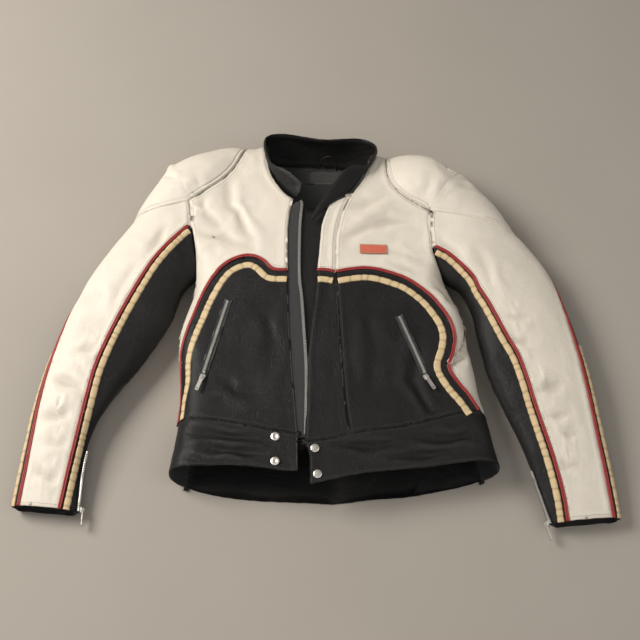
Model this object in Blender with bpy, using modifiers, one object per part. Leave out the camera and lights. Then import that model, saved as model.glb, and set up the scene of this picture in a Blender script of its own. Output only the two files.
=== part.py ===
"""Leather motorcycle jacket laid on its back with the zip open.

Metres, +Z up, collar towards +Y, the wearer's right towards -X. The jacket is a hollow of thin panels:
every panel is an open surface laid over one body form or one sleeve form and thickened outwards.
Places on a side are given as (out, up): out is the distance from the centre line towards that side.
"""
from math import acos, asin, cos, pi, sin, sqrt

import bmesh
import bpy
from mathutils import Matrix, Vector

# Driving sizes
LEATHER = 0.0016
LINING = 0.0010
COLLAR_THICKNESS = 0.0028
HALF_GAP = 0.00015
WIDE_GAP = 0.0006
UNDERARM_GAP = 0.0050
LINING_LIFT = 0.0018
PAD_GAP = 0.0018
PIPING_WIDTH = 0.0050
PIPING_HEIGHT = 0.0013
STRIPE_WIDTH = 0.0110
STRIPE_FROM_PIPING = 0.0125
SLEEVE_STRIPE_WIDTH = 0.0090
SLEEVE_STRIPE_FROM_PIPING = 0.0055
TRIM_THICKNESS = 0.0010
TRIM_LIFT = 0.0009
ORIGIN_SHIFT = (0.0065, 0.0007, 0.0)

# Height of the laid body above the floor, by distance up the jacket: (up, height)
BODY_HEIGHT = ((-0.310, 0.054), (-0.265, 0.058), (-0.200, 0.062), (-0.100, 0.066), (0.000, 0.068),
               (0.100, 0.072), (0.200, 0.076), (0.270, 0.072), (0.340, 0.060))

SIDES = {
    "left": {
        "sign": -1.0,
        # widest reach of the body: (up, out)
        "reach": ((-0.300, 0.2240), (-0.264, 0.2250), (-0.230, 0.2190), (-0.197, 0.2160), (-0.139, 0.2110),
                  (-0.075, 0.2215), (-0.044, 0.2235), (0.007, 0.2110), (0.045, 0.1970), (0.075, 0.2000),
                  (0.100, 0.2130), (0.125, 0.2500), (0.160, 0.2900), (0.340, 0.3400)),
        # top of the shoulder: (out, up)
        "shoulder": ((0.000, 0.3650), (0.060, 0.3600), (0.095, 0.3400), (0.125, 0.3370), (0.165, 0.3340),
                     (0.205, 0.3190), (0.244, 0.2990), (0.2544, 0.2860), (0.320, 0.2400)),
        "front_edge": ((0.0512, 0.0648), (0.0520, 0.0917), (0.0513, 0.1595), (0.0435, 0.2008)),
        "front_edge_low": ((0.0330, -0.2180), (0.0413, -0.1244), (0.0490, -0.0200), (0.0512, 0.0648)),
        "arch": ((0.0512, 0.0648), (0.0637, 0.0642), (0.0766, 0.0675), (0.0857, 0.0763), (0.0958, 0.0879),
                 (0.1105, 0.0929), (0.1299, 0.0906), (0.1475, 0.0828), (0.1638, 0.0675), (0.1779, 0.0439),
                 (0.1907, 0.0140), (0.2001, -0.0154), (0.2089, -0.0414), (0.2150, -0.0700),
                 (0.2155, -0.0950), (0.2112, -0.1364), (0.2130, -0.1600), (0.2155, -0.1850)),
        "neck": ((0.0435, 0.2008), (0.0560, 0.2110), (0.0698, 0.2296), (0.0800, 0.2480), (0.0880, 0.2750),
                 (0.0930, 0.3080), (0.0950, 0.3360)),
        "pad_seam": ((0.1250, 0.3340), (0.1330, 0.3080), (0.1395, 0.2880), (0.1442, 0.2726),
                     (0.1702, 0.2386), (0.1961, 0.2188), (0.2180, 0.2027)),
        "side_seam": ((0.2155, -0.0950), (0.2225, -0.0441), (0.2105, 0.0071), (0.2010, 0.0750)),
        "waist": ((0.0330, -0.2180), (0.0805, -0.2085), (0.1091, -0.2020), (0.1498, -0.1938),
                  (0.1926, -0.1880), (0.2155, -0.1850)),
        "hem": ((0.0322, -0.2745), (0.0571, -0.2744), (0.0733, -0.2706), (0.0989, -0.2667),
                (0.1410, -0.2644), (0.2018, -0.2640), (0.2200, -0.2640)),
        # armhole from the shoulder to the underarm: (fraction, out, up)
        "armhole": ((0.00, 0.2544, 0.2860), (0.20, 0.2350, 0.2470), (0.40, 0.2180, 0.2027),
                    (0.64, 0.2125, 0.1500), (0.85, 0.2010, 0.1060), (1.00, 0.2010, 0.0750)),
        "pad_fraction": 0.40,
        # sleeve sections: outer edge, inner edge, height, angle of the outer piping, and the place of
        # the inner piping as a fraction across
        "sleeve": (
            (0.2510, 0.2760, 0.2020, 0.0750, 0.078, -0.60, 0.62),
            (0.2940, 0.2080, 0.2180, 0.0560, 0.078, -0.60, 0.59),
            (0.3340, 0.1420, 0.2260, 0.0340, 0.074, -0.60, 0.57),
            (0.3635, 0.0980, 0.2320, 0.0080, 0.070, -0.50, 0.56),
            (0.3860, 0.0450, 0.2520, -0.0340, 0.066, -0.20, 0.56),
            (0.4030, -0.0010, 0.2770, -0.0790, 0.062, 0.18, 0.58),
            (0.4210, -0.0620, 0.3060, -0.1220, 0.058, 0.42, 0.64),
            (0.4335, -0.1210, 0.3350, -0.1630, 0.054, 0.57, 0.77),
            (0.4410, -0.1720, 0.3500, -0.2070, 0.048, 0.68, 0.83),
            (0.4490, -0.2350, 0.3570, -0.2580, 0.040, 0.78, 0.82),
            (0.4550, -0.3120, 0.3580, -0.3210, 0.028, 0.71, 0.75)),
        "pad_end": 1.30,
        # rows of the arch table where its front, side and low stretches begin and end
        "arch_stops": (0, 10, 14, 17),
        "pad_bump": (0.205, 0.262, 0.070, 0.011),
        # pocket zip from top to bottom, and the way its pull hangs: (out, up)
        "pocket": ((0.1447, 0.0124), (0.1789, -0.1203)),
        "pocket_pull": (0.0068, -0.0186),
        # rows round the seam of the collar: place along the seam, top edge (x, y, z)
        "collar": ((0.0, -0.0332, 0.2040, 0.098), (0.7, -0.0270, 0.2140, 0.104), (1.8, -0.0415, 0.2319, 0.107),
                   (3.0, -0.0602, 0.2480, 0.107), (4.2, -0.0760, 0.2590, 0.098), (5.4, -0.0870, 0.2740, 0.094),
                   (7.6, -0.0945, 0.3060, 0.092), (9.6, -0.0960, 0.3330, 0.078), (11.2, -0.0900, 0.3530, 0.066),
                   (12.5, -0.0566, 0.3606, 0.062)),
    },
    "right": {
        "sign": 1.0,
        "reach": ((-0.300, 0.2680), (-0.2533, 0.2680), (-0.226, 0.2600), (-0.195, 0.2570), (-0.164, 0.2500),
                  (-0.141, 0.2455), (-0.107, 0.2433), (-0.074, 0.2378), (-0.032, 0.2327), (0.0100, 0.2240),
                  (0.045, 0.2000), (0.075, 0.1960), (0.100, 0.2030), (0.125, 0.2350), (0.160, 0.2800), (0.340, 0.3400)),
        "shoulder": ((0.000, 0.3650), (0.050, 0.3580), (0.0966, 0.3180), (0.1153, 0.3120), (0.1505, 0.3154),
                     (0.1767, 0.3145), (0.2019, 0.3040), (0.2284, 0.2860), (0.2459, 0.2650), (0.320, 0.2000)),
        "front_edge": ((0.0249, 0.0611), (0.0267, 0.1275), (0.0382, 0.1802), (0.0527, 0.2100)),
        "front_edge_low": ((0.0446, -0.2166), (0.0384, -0.1749), (0.0311, -0.0568), (0.0249, 0.0611)),
        "arch": ((0.0249, 0.0611), (0.0500, 0.0661), (0.0808, 0.0684), (0.1112, 0.0611), (0.1414, 0.0490),
                 (0.1717, 0.0251), (0.1902, 0.0014), (0.2031, -0.0215), (0.2092, -0.0494),
                 (0.2074, -0.0716), (0.2013, -0.0900), (0.1975, -0.1055), (0.1996, -0.1186),
                 (0.2117, -0.1322), (0.2229, -0.1470), (0.2315, -0.1642), (0.2385, -0.1742)),
        "neck": ((0.0527, 0.2100), (0.0622, 0.2255), (0.0720, 0.2430), (0.0782, 0.2587), (0.0860, 0.2800),
                 (0.0920, 0.3000), (0.0966, 0.3150)),
        "pad_seam": ((0.1130, 0.3090), (0.1118, 0.2857), (0.1140, 0.2600), (0.1183, 0.2376),
                     (0.1349, 0.2136), (0.1596, 0.1939), (0.1840, 0.1821)),
        "side_seam": ((0.1975, -0.1055), (0.2180, -0.0850), (0.2317, -0.0272), (0.2240, 0.0245),
                      (0.1960, 0.0750)),
        "waist": ((0.0446, -0.2166), (0.0805, -0.2096), (0.1330, -0.2020), (0.1969, -0.1833),
                  (0.2385, -0.1742)),
        "hem": ((-0.0146, -0.2947), (0.0023, -0.2901), (0.0234, -0.2864), (0.0542, -0.2786),
                (0.0835, -0.2753), (0.1203, -0.2709), (0.1616, -0.2667), (0.2032, -0.2599),
                (0.2412, -0.2556), (0.2600, -0.2560)),
        "armhole": ((0.00, 0.2459, 0.2650), (0.22, 0.2080, 0.2300), (0.46, 0.1840, 0.1821),
                    (0.70, 0.1830, 0.1400), (0.88, 0.1850, 0.1020), (1.00, 0.1960, 0.0750)),
        "pad_fraction": 0.46,
        "sleeve": (
            (0.2440, 0.2620, 0.1970, 0.0750, 0.082, -0.60, 0.82),
            (0.2840, 0.2150, 0.2230, 0.0560, 0.080, -0.60, 0.85),
            (0.3120, 0.1680, 0.2370, 0.0320, 0.076, -0.60, 0.86),
            (0.3450, 0.1300, 0.2460, 0.0020, 0.072, -0.46, 0.83),
            (0.3660, 0.0980, 0.2490, -0.0330, 0.068, -0.16, 0.78),
            (0.3860, 0.0450, 0.2560, -0.0770, 0.064, 0.20, 0.73),
            (0.4000, -0.0050, 0.2680, -0.1210, 0.060, 0.42, 0.69),
            (0.4130, -0.0600, 0.2830, -0.1610, 0.056, 0.54, 0.71),
            (0.4230, -0.1150, 0.2970, -0.1950, 0.052, 0.64, 0.74),
            (0.4300, -0.1850, 0.3130, -0.2400, 0.046, 0.70, 0.74),
            (0.4370, -0.2600, 0.3280, -0.2970, 0.036, 0.70, 0.74),
            (0.4420, -0.3300, 0.3395, -0.3390, 0.026, 0.72, 0.78)),
        "pad_end": 1.80,
        "arch_stops": (0, 6, 11, 16),
        "pad_bump": (0.185, 0.250, 0.075, 0.020),
        "pocket": ((0.1229, -0.0173), (0.1614, -0.1203)),
        "pocket_pull": (0.0112, -0.0194),
        "placket_edge": ((-0.0048, 0.0642), (-0.0016, 0.1034), (0.0033, 0.1535), (0.0150, 0.1905)),
        "placket_edge_low": ((-0.0237, -0.2286), (-0.0197, -0.1573), (-0.0186, -0.0723), (-0.0070, 0.0200),
                             (-0.0048, 0.0642)),
        "placket_arch": ((-0.0048, 0.0642), (0.0089, 0.0647), (0.0249, 0.0611)),
        "placket_waist": ((-0.0237, -0.2286), (0.0100, -0.2260), (0.0446, -0.2166)),
        "placket_top": ((0.0150, 0.1905), (0.0384, 0.2027), (0.0527, 0.2100)),
        "extension_end": ((-0.0146, -0.2947), (-0.0162, -0.2722), (-0.0133, -0.2556), (-0.0180, -0.2440),
                          (-0.0237, -0.2286)),
        "collar": ((14.0, 0.0052, 0.3434, 0.062), (15.6, 0.0620, 0.3501, 0.063), (17.2, 0.0930, 0.3330, 0.068),
                   (19.0, 0.0970, 0.3130, 0.082), (21.0, 0.0960, 0.2920, 0.090), (23.6, 0.0850, 0.2655, 0.094),
                   (24.8, 0.0700, 0.2584, 0.100), (26.3, 0.0485, 0.2540, 0.107), (27.6, 0.0320, 0.2330, 0.106),
                   (28.8, 0.0150, 0.2090, 0.101), (29.8, -0.0033, 0.1852, 0.094), (31.0, -0.0148, 0.1560, 0.086)),
    },
}

# Lines across the back: (x, y)
BACK_NECK = ((-0.050, 0.3355), (0.000, 0.3350), (0.050, 0.3300))
BACK_WAIST = ((-0.300, -0.1850), (-0.183, -0.1850), (0.000, -0.1980), (0.222, -0.1742), (0.300, -0.1742))
BACK_HEM = ((-0.2004, -0.2765), (-0.1623, -0.2881), (-0.0959, -0.2968), (-0.0064, -0.3007),
            (0.0179, -0.3035), (0.0810, -0.2941), (0.1230, -0.2928), (0.1654, -0.2849), (0.2081, -0.2763),
            (0.2434, -0.2655))

# Zip tapes and flap behind the opening: edges as (out, up) on the left and on the right side
TAPE_TEETH = ((0.0217, -0.2229), (0.0208, -0.1317), (0.0252, -0.0396), (0.0331, 0.0578), (0.0331, 0.1443),
              (0.0302, 0.1910), (0.0336, 0.1980))
TAPE_SEAM = ((0.0400, -0.2229), (0.0480, -0.1244), (0.0560, -0.0200), (0.0590, 0.0648), (0.0590, 0.1595),
             (0.0510, 0.1930))
HIDDEN_TAPE_TEETH = ((-0.0170, -0.2220), (-0.0140, -0.1573), (-0.0120, -0.0723), (0.0010, 0.0500),
                     (0.0070, 0.1400), (0.0190, 0.1880))
HIDDEN_TAPE_SEAM = ((0.0010, -0.2210), (0.0030, -0.1573), (0.0050, -0.0723), (0.0180, 0.0500),
                    (0.0240, 0.1400), (0.0340, 0.1920))
FLAP = {"left": 0.062, "right": -0.030, "bottom": -0.225, "top": 0.188, "depth": 0.0075,
        "seam_depth": 0.0038}
TAPE_THICKNESS = 0.0010
TAPE_DEPTH = 0.0018

# Small hard pieces
SNAP_PLACES = {
    "snap_socket_1": ("left", 0.0661, -0.2215), "snap_socket_2": ("left", 0.0657, -0.2596),
    "snap_cap_1": ("right", -0.0074, -0.2398), "snap_cap_2": ("right", -0.0035, -0.2792),
}
SNAP_SOCKET = ((0.0, 0.0), (0.0065, 0.0), (0.0065, 0.0012), (0.0045, 0.0018), (0.0030, 0.0016), (0.0, 0.0010))
SNAP_CAP = ((0.0, 0.0), (0.0065, 0.0), (0.0065, 0.0010), (0.0050, 0.0019), (0.0, 0.0024))
SNAP_STEPS = 12
COLLAR_DOT = {"seam_place": 1.3, "height": 0.55, "radius": 0.0030}
SLIDER_SIZE = (0.0090, 0.0080, 0.0026)
BRIDGE = {"inner_half": 0.0018, "wall": 0.0011, "clear": 0.0019, "width": 0.0016}
PULL_AXIS_HEIGHT = 0.0035
PULL = {"length": 0.0240, "half_width": 0.0028, "thickness": 0.0012, "slot_start": 0.0006, "slot_end": 0.0046,
        "slot_half_width": 0.0012}
POCKET_TAPE_WIDTH = 0.0140
CUFF_TAPE_WIDTH = 0.0120
CUFF_TAPE_LIFT = 0.0008
SLIDER_LIFT = 0.0008
CUFF_ZIP_ROWS = 3
LOOP_POINTS = ((-0.0018, 0.3245, 0.0049), (0.0010, 0.3255, 0.0260), (0.0070, 0.3265, 0.0370),
               (0.0150, 0.3265, 0.0400), (0.0225, 0.3255, 0.0360), (0.0275, 0.3240, 0.0250),
               (0.0295, 0.3200, 0.0066))
LOOP_RADIUS = 0.0016
LABEL_BOX = (-0.0235, 0.0445, 0.2900, 0.3190)
BADGE_BOX = (0.0641, 0.1086, 0.0945, 0.1125)
# outline of the lining that shows: left edge, right edge and top edge as (x, y)
LINING_LEFT = ((-0.160, -0.190), (-0.160, 0.050), (-0.158, 0.200), (-0.110, 0.262), (-0.074, 0.306))
LINING_RIGHT = ((0.160, -0.190), (0.160, 0.050), (0.150, 0.180), (0.090, 0.245), (0.054, 0.282))
LINING_TOP = ((-0.074, 0.306), (-0.045, 0.3200), (0.000, 0.3240), (0.034, 0.3170), (0.054, 0.282))

# Segments along the shared edges, so that pieces that meet at a seam have the same points
ARCH_SEGMENTS = (8, 4, 3)
FRONT_EDGE_SEGMENTS = 9
NECK_SEGMENTS = 11
PAD_SIDE_SEGMENTS = 4
PAD_FRONT_SEGMENTS = 5
CROSS_SEGMENTS = 4
CAP_SEGMENTS = 4
ARMHOLE_WHITE_SEGMENTS = 3
ARMHOLE_BLACK_COLUMNS = 4
SIDE_SEGMENTS = 4
SLEEVE_ROWS = 13
PAD_ROWS = 3
UNDER_SEGMENTS = 5
SIDE_PANEL_COLUMNS = 4
RELAX_ROUNDS = 80
PLACKET_COLUMNS = 3
BAND_ROWS = 3
BAND_SIDE_SEGMENTS = 4
BAND_BACK_COLUMNS = 16
BAND_END = 2.99
OUTER_PIPING_FROM = -0.25
OUTER_STRIPE_ROWS = 6
BACK_NECK_SEGMENTS = 6
COLLAR_ROWS = 4
COLLAR_BOW = 0.004
COLLAR_GAP = 0.0018
BACK_TURN = 0.60
SLEEVE_BLEND = 1.4
SHOULDER_RADIUS = 0.034

MATERIALS = {
    "white leather": ((0.74, 0.68, 0.58), 0.50, 0.0),
    "black leather": ((0.012, 0.012, 0.012), 0.42, 0.0),
    "red piping": ((0.42, 0.018, 0.022), 0.45, 0.0),
    "cream stripe": ((0.68, 0.52, 0.29), 0.55, 0.0),
    "black lining": ((0.010, 0.010, 0.011), 0.80, 0.0),
    "black tape": ((0.015, 0.015, 0.015), 0.85, 0.0),
    "nickel": ((0.62, 0.60, 0.57), 0.28, 1.0),
    "badge red": ((0.70, 0.13, 0.07), 0.60, 0.0),
}


def clear_scene():
    for obj in list(bpy.data.objects):
        bpy.data.objects.remove(obj)


def make_material(name):
    colour, roughness, metallic = MATERIALS[name]
    material = bpy.data.materials.get(name)
    if material is None:
        material = bpy.data.materials.new(name)
        material.use_nodes = True
        shader = material.node_tree.nodes["Principled BSDF"]
        shader.inputs["Base Color"].default_value = (*colour, 1.0)
        shader.inputs["Roughness"].default_value = roughness
        shader.inputs["Metallic"].default_value = metallic
    return material


def read_table(table, at):
    """Straight interpolation in rows (place, value)."""
    if at <= table[0][0]:
        return table[0][1]
    for low, high in zip(table, table[1:]):
        if at <= high[0]:
            share = (at - low[0]) / (high[0] - low[0])
            return low[1] + (high[1] - low[1]) * share
    return table[-1][1]


def smooth_points(points, steps=6):
    """A soft curve through the points, as a fine line of vectors."""
    ends = [Vector(p) for p in points]
    ends = [2 * ends[0] - ends[1]] + ends + [2 * ends[-1] - ends[-2]]
    line = []
    for a, b, c, d in zip(ends, ends[1:], ends[2:], ends[3:]):
        for step in range(steps):
            u = step / steps
            line.append(0.5 * (2 * b + (c - a) * u + (2 * a - 5 * b + 4 * c - d) * u * u
                               + (3 * b - a - 3 * c + d) * u ** 3))
    line.append(ends[-2])
    return line


def resample(points, segments):
    """The soft curve through the points, cut into equal lengths."""
    return even_line(smooth_points(points), segments)


def resample_stretches(points, stops, segments, steps=6):
    """The soft curve through the points, each stretch between two stops cut into its own count."""
    line = smooth_points(points, steps)
    result = [line[0]]
    for start, end, count in zip(stops, stops[1:], segments):
        result += even_line(line[start * steps:end * steps + 1], count)[1:]
    return result


def even_line(line, segments):
    travelled = [0.0]
    for a, b in zip(line, line[1:]):
        travelled.append(travelled[-1] + (b - a).length)
    result = []
    index = 0
    for k in range(segments + 1):
        goal = travelled[-1] * k / segments
        while index < len(line) - 2 and travelled[index + 1] < goal:
            index += 1
        share = (goal - travelled[index]) / (travelled[index + 1] - travelled[index])
        result.append(line[index].lerp(line[index + 1], min(max(share, 0.0), 1.0)))
    return result


def ease(share):
    share = min(max(share, 0.0), 1.0)
    return share * share * (3 - 2 * share)


# The body form: cloth coordinates (along, up) wrap over the side roll and the shoulder roll

def pad_swell(side, out, up):
    centre_out, centre_up, radius, height = side["pad_bump"]
    distance = sqrt((out - centre_out) ** 2 + (up - centre_up) ** 2)
    return height * (1 - ease(distance / radius))


def top_height(side, out, up):
    crown = 0.006 * max(0.0, 1 - (out / 0.16) ** 2)
    return read_table(BODY_HEIGHT, up) + crown + pad_swell(side, out, up)


def body_point(side, along, up):
    """Point of the body's outer form; along and up run on over the rolls, to the floor."""
    radius = read_table(BODY_HEIGHT, min(up, 0.30)) / 2
    roll_start = read_table(side["reach"], up) - radius
    turn = min(max(0.0, (along - roll_start) / radius), pi)
    out = along if turn == 0.0 else roll_start + radius * sin(turn)
    shoulder_start = read_table(side["shoulder"], out) - SHOULDER_RADIUS
    fall = min(max(0.0, (up - shoulder_start) / SHOULDER_RADIUS), pi)
    place_up = up if fall == 0.0 else shoulder_start + SHOULDER_RADIUS * sin(fall)
    height = top_height(side, out, place_up) * (1 + cos(turn)) / 2 * (1 + cos(fall)) / 2
    return Vector((side["sign"] * out, place_up, height + LEATHER))


def cloth(side, out, up):
    """Cloth coordinates of a place seen from above."""
    shoulder_start = read_table(side["shoulder"], out) - SHOULDER_RADIUS
    if up > shoulder_start:
        up = shoulder_start + SHOULDER_RADIUS * asin(min(1.0, (up - shoulder_start) / SHOULDER_RADIUS))
    radius = read_table(BODY_HEIGHT, min(up, 0.30)) / 2
    roll_start = read_table(side["reach"], up) - radius
    if out > roll_start:
        out = roll_start + radius * asin(min(1.0, (out - roll_start) / radius))
    return Vector((out, up))


def under_point(side, out, up):
    """Point of the body's underside, flat on the floor and rising to the seams at its edge."""
    radius = read_table(BODY_HEIGHT, min(up, 0.30)) / 2
    side_left = (read_table(side["reach"], up) - out) / radius
    shoulder_left = (read_table(side["shoulder"], out) - up) / SHOULDER_RADIUS
    level = 0.0
    for left, rise in ((side_left, radius), (shoulder_left, top_height(side, out, up) / 2)):
        if left < 1.0:
            level = max(level, rise * (1 - sqrt(max(0.0, 1 - (1 - max(left, 0.0)) ** 2))))
    return Vector((side["sign"] * out, up, level + LEATHER))


def body_normal(side, along, up):
    step = 0.0015
    across = body_point(side, along + step, up) - body_point(side, along - step, up)
    lengthwise = body_point(side, along, up + step) - body_point(side, along, up - step)
    normal = across.cross(lengthwise) * side["sign"]
    return normal.normalized()


def on_body(side, at, lift=0.0):
    point = body_point(side, at[0], at[1])
    if lift:
        point = point + body_normal(side, at[0], at[1]) * lift
    return point


# The sleeve form: stations down the sleeve, and an angle round it from the outer edge over the top

def station(side, k):
    rows = side["sleeve"]
    k = min(max(k, 0.0), len(rows) - 1.0)
    index = min(int(k), len(rows) - 2)
    share = k - index
    before = Vector(rows[max(index - 1, 0)])
    start = Vector(rows[index])
    end = Vector(rows[index + 1])
    after = Vector(rows[min(index + 2, len(rows) - 1)])
    slope_in = (end - before) / 2
    slope_out = (after - start) / 2
    return (start * (1 + 2 * share) * (1 - share) ** 2 + slope_in * share * (1 - share) ** 2
            + end * share * share * (3 - 2 * share) + slope_out * share * share * (share - 1))


def armhole_place(side, fraction):
    rows = side["armhole"]
    line = smooth_points([row[1:] for row in rows], 8)
    shares = smooth_points([(row[0], 0.0) for row in rows], 8)
    for index in range(len(line) - 1):
        if fraction <= shares[index + 1][0] or index == len(line) - 2:
            span = shares[index + 1][0] - shares[index][0]
            share = min(max((fraction - shares[index][0]) / span, 0.0), 1.0)
            return line[index].lerp(line[index + 1], share)
    return line[-1]


def armhole_point(side, turn):
    """Point of the armhole; turn 0 is the shoulder, pi the underarm, then back under the jacket."""
    fraction = (1 - cos(turn)) / 2
    out, up = armhole_place(side, fraction)
    if sin(turn) >= 0:
        at = cloth(side, out, up)
        return body_point(side, at[0], at[1])
    return under_point(side, out, up)


def sleeve_point(side, k, turn):
    out_o, up_o, out_i, up_i, height, _, _ = station(side, k)
    fraction = (1 - cos(turn)) / 2
    outer = Vector((out_o, up_o))
    inner = Vector((out_i, up_i))
    place = outer.lerp(inner, fraction)
    radius = height / 2
    if sin(turn) >= 0:
        level = radius * (1 + abs(sin(turn)) ** 0.8)
    else:
        left = min(fraction, 1 - fraction) * (inner - outer).length / radius
        level = radius * (1 - sqrt(max(0.0, 1 - (1 - left) ** 2))) if left < 1 else 0.0
    ring = Vector((side["sign"] * place[0], place[1], level + LEATHER))
    share = min(k / SLEEVE_BLEND, 1.0)
    if share >= 1.0:
        return ring
    return armhole_point(side, turn).lerp(ring, share)


def sleeve_normal(side, k, turn):
    step = 0.02
    around = sleeve_point(side, k, turn + step) - sleeve_point(side, k, turn - step)
    down = sleeve_point(side, min(k + step, 20), turn) - sleeve_point(side, max(k - step, 0), turn)
    normal = around.cross(down) * side["sign"]
    return normal.normalized()


def turn_of(fraction):
    """Angle round the sleeve of a fraction across its top."""
    return acos(1 - 2 * min(fraction, 1.0))


def moved_turn(side, k, turn, distance):
    """The angle that lies a distance further round the sleeve."""
    if distance == 0.0:
        return turn
    step = 0.04 if distance > 0 else -0.04
    left = abs(distance)
    point = sleeve_point(side, k, turn)
    while left > 0:
        following = sleeve_point(side, k, turn + step)
        length = (following - point).length
        if length >= left:
            return turn + step * left / length
        left -= length
        turn += step
        point = following
    return turn


# Building

def link(obj, collection, root, material):
    collection.objects.link(obj)
    obj.data.materials.append(make_material(material))
    obj.parent = root


def shares_along(line):
    travelled = [0.0]
    for a, b in zip(line, line[1:]):
        travelled.append(travelled[-1] + (b - a).length)
    return [length / travelled[-1] for length in travelled]


def patch(bottom, top, left, right):
    """Grid between four edge lines that share their corner points."""
    bottom_shares, top_shares = shares_along(bottom), shares_along(top)
    left_shares, right_shares = shares_along(left), shares_along(right)
    grid = []
    for j in range(len(left)):
        row = []
        for i in range(len(bottom)):
            across = (bottom_shares[i] + top_shares[i]) / 2
            upward = (left_shares[j] + right_shares[j]) / 2
            v = left_shares[j] * (1 - across) + right_shares[j] * across
            u = bottom_shares[i] * (1 - upward) + top_shares[i] * upward
            if j in (0, len(left) - 1):
                v = j / (len(left) - 1)
                u = (bottom_shares if j == 0 else top_shares)[i]
            if i in (0, len(bottom) - 1):
                u = i / (len(bottom) - 1)
                v = (left_shares if i == 0 else right_shares)[j]
            corners = (bottom[0] * (1 - u) * (1 - v) + bottom[-1] * u * (1 - v)
                       + top[0] * (1 - u) * v + top[-1] * u * v)
            row.append(bottom[i] * (1 - v) + top[i] * v + left[j] * (1 - u) + right[j] * u - corners)
        grid.append(row)
    for _ in range(RELAX_ROUNDS):
        relax(grid)
    return grid


def relax(grid):
    """Evens out a grid's inner points so that its lines never cross, also beside a hollow edge."""
    for j in range(1, len(grid) - 1):
        for i in range(1, len(grid[0]) - 1):
            across = (grid[j][i + 1] - grid[j][i - 1]) / 2
            upward = (grid[j + 1][i] - grid[j - 1][i]) / 2
            corners = grid[j + 1][i + 1] - grid[j + 1][i - 1] - grid[j - 1][i + 1] + grid[j - 1][i - 1]
            pull_across = upward.length_squared
            pull_upward = across.length_squared
            grid[j][i] = ((grid[j][i + 1] + grid[j][i - 1]) * pull_across
                          + (grid[j + 1][i] + grid[j - 1][i]) * pull_upward
                          - corners * (across.dot(upward) / 2)) / (2 * (pull_across + pull_upward))


def inset(grid, first_column=HALF_GAP, last_column=HALF_GAP, first_row=HALF_GAP, last_row=HALF_GAP):
    """Moves a grid's rim inwards, so that neighbours stay apart; a gap is one size or a size a point."""
    rows = len(grid) - 1
    columns = len(grid[0]) - 1
    result = [[point.copy() for point in row] for row in grid]
    for edge, inner, gap in ((0, 1, first_column), (columns, columns - 1, last_column)):
        for j in range(rows + 1):
            step = grid[j][inner] - grid[j][edge]
            result[j][edge] += step.normalized() * (gap[j] if isinstance(gap, list) else gap)
    for edge, inner, gap in ((0, 1, first_row), (rows, rows - 1, last_row)):
        for i in range(columns + 1):
            step = grid[inner][i] - grid[edge][i]
            result[edge][i] += step.normalized() * (gap[i] if isinstance(gap, list) else gap)
    return result


def sheet(name, grid, thickness, material, towards):
    """A panel from a grid of points, thickened to the side that the vector points to."""
    mesh = bpy.data.meshes.new(name)
    columns = len(grid[0])
    points = [point for row in grid for point in row]
    faces = []
    for j in range(len(grid) - 1):
        for i in range(columns - 1):
            low = j * columns + i
            faces.append((low, low + 1, low + columns + 1, low + columns))
    mesh.from_pydata(points, [], faces)
    middle = mesh.polygons[len(mesh.polygons) // 2]
    if middle.normal.dot(towards) < 0:
        mesh.flip_normals()
    mesh.shade_smooth()
    obj = bpy.data.objects.new(name, mesh)
    link(obj, JACKET, ROOT, material)
    solid = obj.modifiers.new("thickness", "SOLIDIFY")
    solid.thickness = thickness
    solid.offset = 1.0
    return obj


def body_sheet(name, side, cloth_grid, material, thickness=LEATHER, lift=0.0, gaps=None):
    flat = inset(cloth_grid, **(gaps or {}))
    grid = [[on_body(side, at, lift) for at in row] for row in flat]
    j = len(flat) // 2
    i = len(flat[0]) // 2
    at = (flat[j][i] + flat[j - 1][i - 1]) / 2
    return sheet(name, grid, thickness, material, body_normal(side, at[0], at[1]))


def cloth_line(side, points, segments, start=(), end=()):
    """A seam in cloth coordinates, cut into equal lengths; start and end add places past the fold."""
    line = list(start) + [cloth(side, p[0], p[1]) for p in smooth_points(points)] + list(end)
    return even_line(line, segments)


def shoulder_end(side, out):
    """Cloth place where the shoulder's roll meets the back panel."""
    start = read_table(side["shoulder"], out) - SHOULDER_RADIUS
    return Vector((out, start + SHOULDER_RADIUS * (pi / 2 + BACK_TURN)))


def side_edges(side):
    """The edge lines of one side in cloth coordinates, each cut once for both of its neighbours."""
    arch = [cloth(side, p[0], p[1])
            for p in resample_stretches(side["arch"], side["arch_stops"], ARCH_SEGMENTS)]
    neck = cloth_line(side, side["neck"], NECK_SEGMENTS, end=[shoulder_end(side, side["neck"][-1][0])])
    pad = cloth_line(side, side["pad_seam"], PAD_SIDE_SEGMENTS + PAD_FRONT_SEGMENTS,
                     start=[shoulder_end(side, side["pad_seam"][0][0])])
    turns = sleeve_turns(side)
    pad[-1] = armhole_cloth(side, turns["white"][0])
    side_seam = cloth_line(side, side["side_seam"], SIDE_SEGMENTS)
    side_seam[0] = arch[ARCH_SEGMENTS[0] + ARCH_SEGMENTS[1]]
    side_seam[-1] = armhole_cloth(side, pi)
    front_edge = cloth_line(side, side["front_edge"], FRONT_EDGE_SEGMENTS)
    front_edge[0] = arch[0]
    front_edge[-1] = neck[0]
    front_edge_low = cloth_line(side, side["front_edge_low"], ARCH_SEGMENTS[1] + ARCH_SEGMENTS[2])
    front_edge_low[-1] = arch[0]
    return {
        "arch": arch,
        "neck": neck,
        "front_edge": front_edge,
        "front_edge_low": front_edge_low,
        "pad": pad,
        "side": side_seam,
        "turns": turns,
        "armhole": ([armhole_cloth(side, turn) for turn in reversed(turns["black"])]
                    + [armhole_cloth(side, turn) for turn in reversed(turns["white"])][1:]),
        "cross": [armhole_cloth(side, turn) if turn > 0 else armhole_cloth_under(side, turn)
                  for turn in turns["cross"]],
    }


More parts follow.
